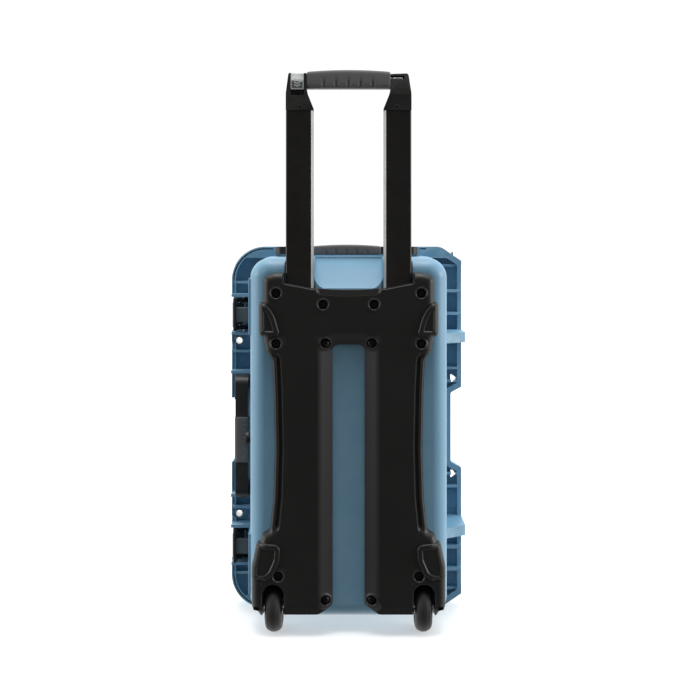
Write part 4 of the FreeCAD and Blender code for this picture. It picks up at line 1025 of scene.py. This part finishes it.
rivet_profile = bmesh.new()
bmesh.ops.create_uvsphere(rivet_profile, u_segments=24, v_segments=12, radius=2.4 * MM)
for vert in rivet_profile.verts:
    vert.co.y *= 0.35
one_rivet = bpy.data.objects.new("one_rivet", as_mesh(rivet_profile, "one_rivet", 60.0))
cap_y = (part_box("cap_right")[0].y - SEAM) / MM
rivet_points = bpy.data.meshes.new("rivet_points")
rivet_points.from_pydata([at(side * 70, cap_y + 0.1, 760) for side in (-1, 1)], [], [])
rivets = run_nodes(rivet_points, screw_tree, Screw=one_rivet, Seed=5, Finish=FINISHES["black_screw"])
rivets.name = "cap_rivets"
add_piece("cap_rivets", rivets, "trolley", "black_screw")
print("button and rivets done")

# %% [markdown]
# ## Grip ridges on the latches
# Wet or gloved fingers need something to pull, so each latch lever carries a row of ridges. A
# node tree makes the row: a line of points, one small bar on each, realised into one mesh.

# %% Latch ridges
ridge_tree, ridge_in, ridge_out = node_tree("row_of_ridges", [
    ("Count", "NodeSocketInt"), ("Pitch", "NodeSocketFloat"), ("Size", "NodeSocketVector"),
    ("Finish", "NodeSocketMaterial")])
bar = ridge_tree.nodes.new("GeometryNodeMeshCube")
line = ridge_tree.nodes.new("GeometryNodeMeshLine")
step_vector = ridge_tree.nodes.new("ShaderNodeCombineXYZ")
row = ridge_tree.nodes.new("GeometryNodeInstanceOnPoints")
row_real = ridge_tree.nodes.new("GeometryNodeRealizeInstances")
row_paint = ridge_tree.nodes.new("GeometryNodeSetMaterial")
for source, target in (
    (ridge_in.outputs["Size"], bar.inputs["Size"]),
    (ridge_in.outputs["Count"], line.inputs["Count"]),
    (ridge_in.outputs["Pitch"], step_vector.inputs["Y"]),
    (step_vector.outputs["Vector"], line.inputs["Offset"]),
    (line.outputs["Mesh"], row.inputs["Points"]),
    (bar.outputs["Mesh"], row.inputs["Instance"]),
    (row.outputs["Instances"], row_real.inputs["Geometry"]),
    (row_real.outputs["Geometry"], row_paint.inputs["Geometry"]),
    (ridge_in.outputs["Finish"], row_paint.inputs["Material"]),
    (row_paint.outputs["Geometry"], ridge_out.inputs["Geometry"]),
):
    ridge_tree.links.new(source, target)

for label in ("upper", "lower"):
    low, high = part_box("latch_lever_" + label)
    ridges = run_nodes(bpy.data.meshes.new("ridges"), ridge_tree, Count=4, Pitch=3.2 * MM,
                       Size=(1.6 * MM, 1.5 * MM, 38 * MM), Finish=FINISHES["black_resin"])
    ridges.name = "latch_ridges_" + label
    ridges.transform(Matrix.Translation((low.x + 0.9 * MM, at(0, -49.5, 0).y, (low.z + high.z) / 2)))
    soften(add_piece("latch_ridges_" + label, ridges, "latch_lever_" + label, "black_resin"), 0.35)
print("ridges: 4 on each latch")

# %% [markdown]
# ## Foam
# The base has a soft grey layer cut out for the aircraft and its controller, on a plain slab. The
# lid has convoluted foam, cut on rollers into rows of peaks that hold the load down without
# crushing it. The peaks follow a rule, so Geometry Nodes makes them: each point of the face moves
# by a product of two waves.

# %% Foam in the base
for node in ("foam_floor", "foam_layer"):
    moulded(node, "base", "foam", 1.4, 3)

# %% Convoluted foam in the lid
low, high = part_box("lid_foam")
lid_low = ((low.x - MIDDLE) / MM, low.z / MM)
lid_high = ((high.x - MIDDLE) / MM, high.z / MM)
near, far = (low.y - SEAM) / MM, (high.y - SEAM) / MM
FOAM_CORNER = 18
FOAM_MESH = 4.0
lid_loop = rounded_loop([(x, z, FOAM_CORNER, "") for x, z in (
    (lid_low[0], lid_low[1]), (lid_high[0], lid_low[1]),
    (lid_high[0], lid_high[1]), (lid_low[0], lid_high[1]))], FOAM_MESH)[0]
foam_bm = relief_panel(lid_loop, [], (1.0, 3.0, 6.0),
                       lambda points: np.full(len(points), near),
                       lambda points: np.full(len(points), far),
                       lambda points: np.full(len(points), True), FOAM_MESH)
open_edges = [edge for edge in foam_bm.edges if edge.is_boundary]
bmesh.ops.holes_fill(foam_bm, edges=open_edges, sides=0)
bmesh.ops.recalc_face_normals(foam_bm, faces=foam_bm.faces)
foam_block = as_mesh(foam_bm, "foam_block", 50.0)

wave_tree, wave_in, wave_out = node_tree("convoluted_foam", [
    ("Pitch", "NodeSocketFloat"), ("Depth", "NodeSocketFloat"), ("Face", "NodeSocketFloat"),
    ("Finish", "NodeSocketMaterial")])


def wave_math(operation, *operands):
    """Math node of the foam tree; each operand is a socket or a number."""
    node = wave_tree.nodes.new("ShaderNodeMath")
    node.operation = operation
    for index, value in enumerate(operands):
        if isinstance(value, (int, float)):
            node.inputs[index].default_value = value
        else:
            wave_tree.links.new(value, node.inputs[index])
    return node.outputs["Value"]


position = wave_tree.nodes.new("GeometryNodeInputPosition")
parts = wave_tree.nodes.new("ShaderNodeSeparateXYZ")
wave_tree.links.new(position.outputs["Position"], parts.inputs["Vector"])
turns = wave_math("DIVIDE", 2 * math.pi, wave_in.outputs["Pitch"])
peaks = wave_math("MULTIPLY", wave_math("COSINE", wave_math("MULTIPLY", parts.outputs["X"], turns)),
                  wave_math("COSINE", wave_math("MULTIPLY", parts.outputs["Z"], turns)))
sunk = wave_math("MULTIPLY", wave_math("MULTIPLY_ADD", peaks, 0.5, 0.5), wave_in.outputs["Depth"])
on_face = wave_math("LESS_THAN", parts.outputs["Y"], wave_in.outputs["Face"])
offset = wave_tree.nodes.new("ShaderNodeCombineXYZ")
move = wave_tree.nodes.new("GeometryNodeSetPosition")
foam_real = wave_tree.nodes.new("GeometryNodeRealizeInstances")
foam_paint = wave_tree.nodes.new("GeometryNodeSetMaterial")
for source, target in (
    (wave_in.outputs["Geometry"], move.inputs["Geometry"]),
    (on_face, move.inputs["Selection"]),
    (sunk, offset.inputs["Y"]),
    (offset.outputs["Vector"], move.inputs["Offset"]),
    (move.outputs["Geometry"], foam_real.inputs["Geometry"]),
    (foam_real.outputs["Geometry"], foam_paint.inputs["Geometry"]),
    (wave_in.outputs["Finish"], foam_paint.inputs["Material"]),
    (foam_paint.outputs["Geometry"], wave_out.inputs["Geometry"]),
):
    wave_tree.links.new(source, target)
lid_foam = run_nodes(foam_block, wave_tree, Pitch=30 * MM, Depth=9 * MM, Face=at(0, near + 0.5, 0).y,
                     Finish=FINISHES["foam"])
lid_foam.name = "lid_foam_skin"
add_piece("lid_foam_skin", lid_foam, "lid", "foam", "lid_foam")
print("lid foam:", len(lid_foam.polygons), "faces")
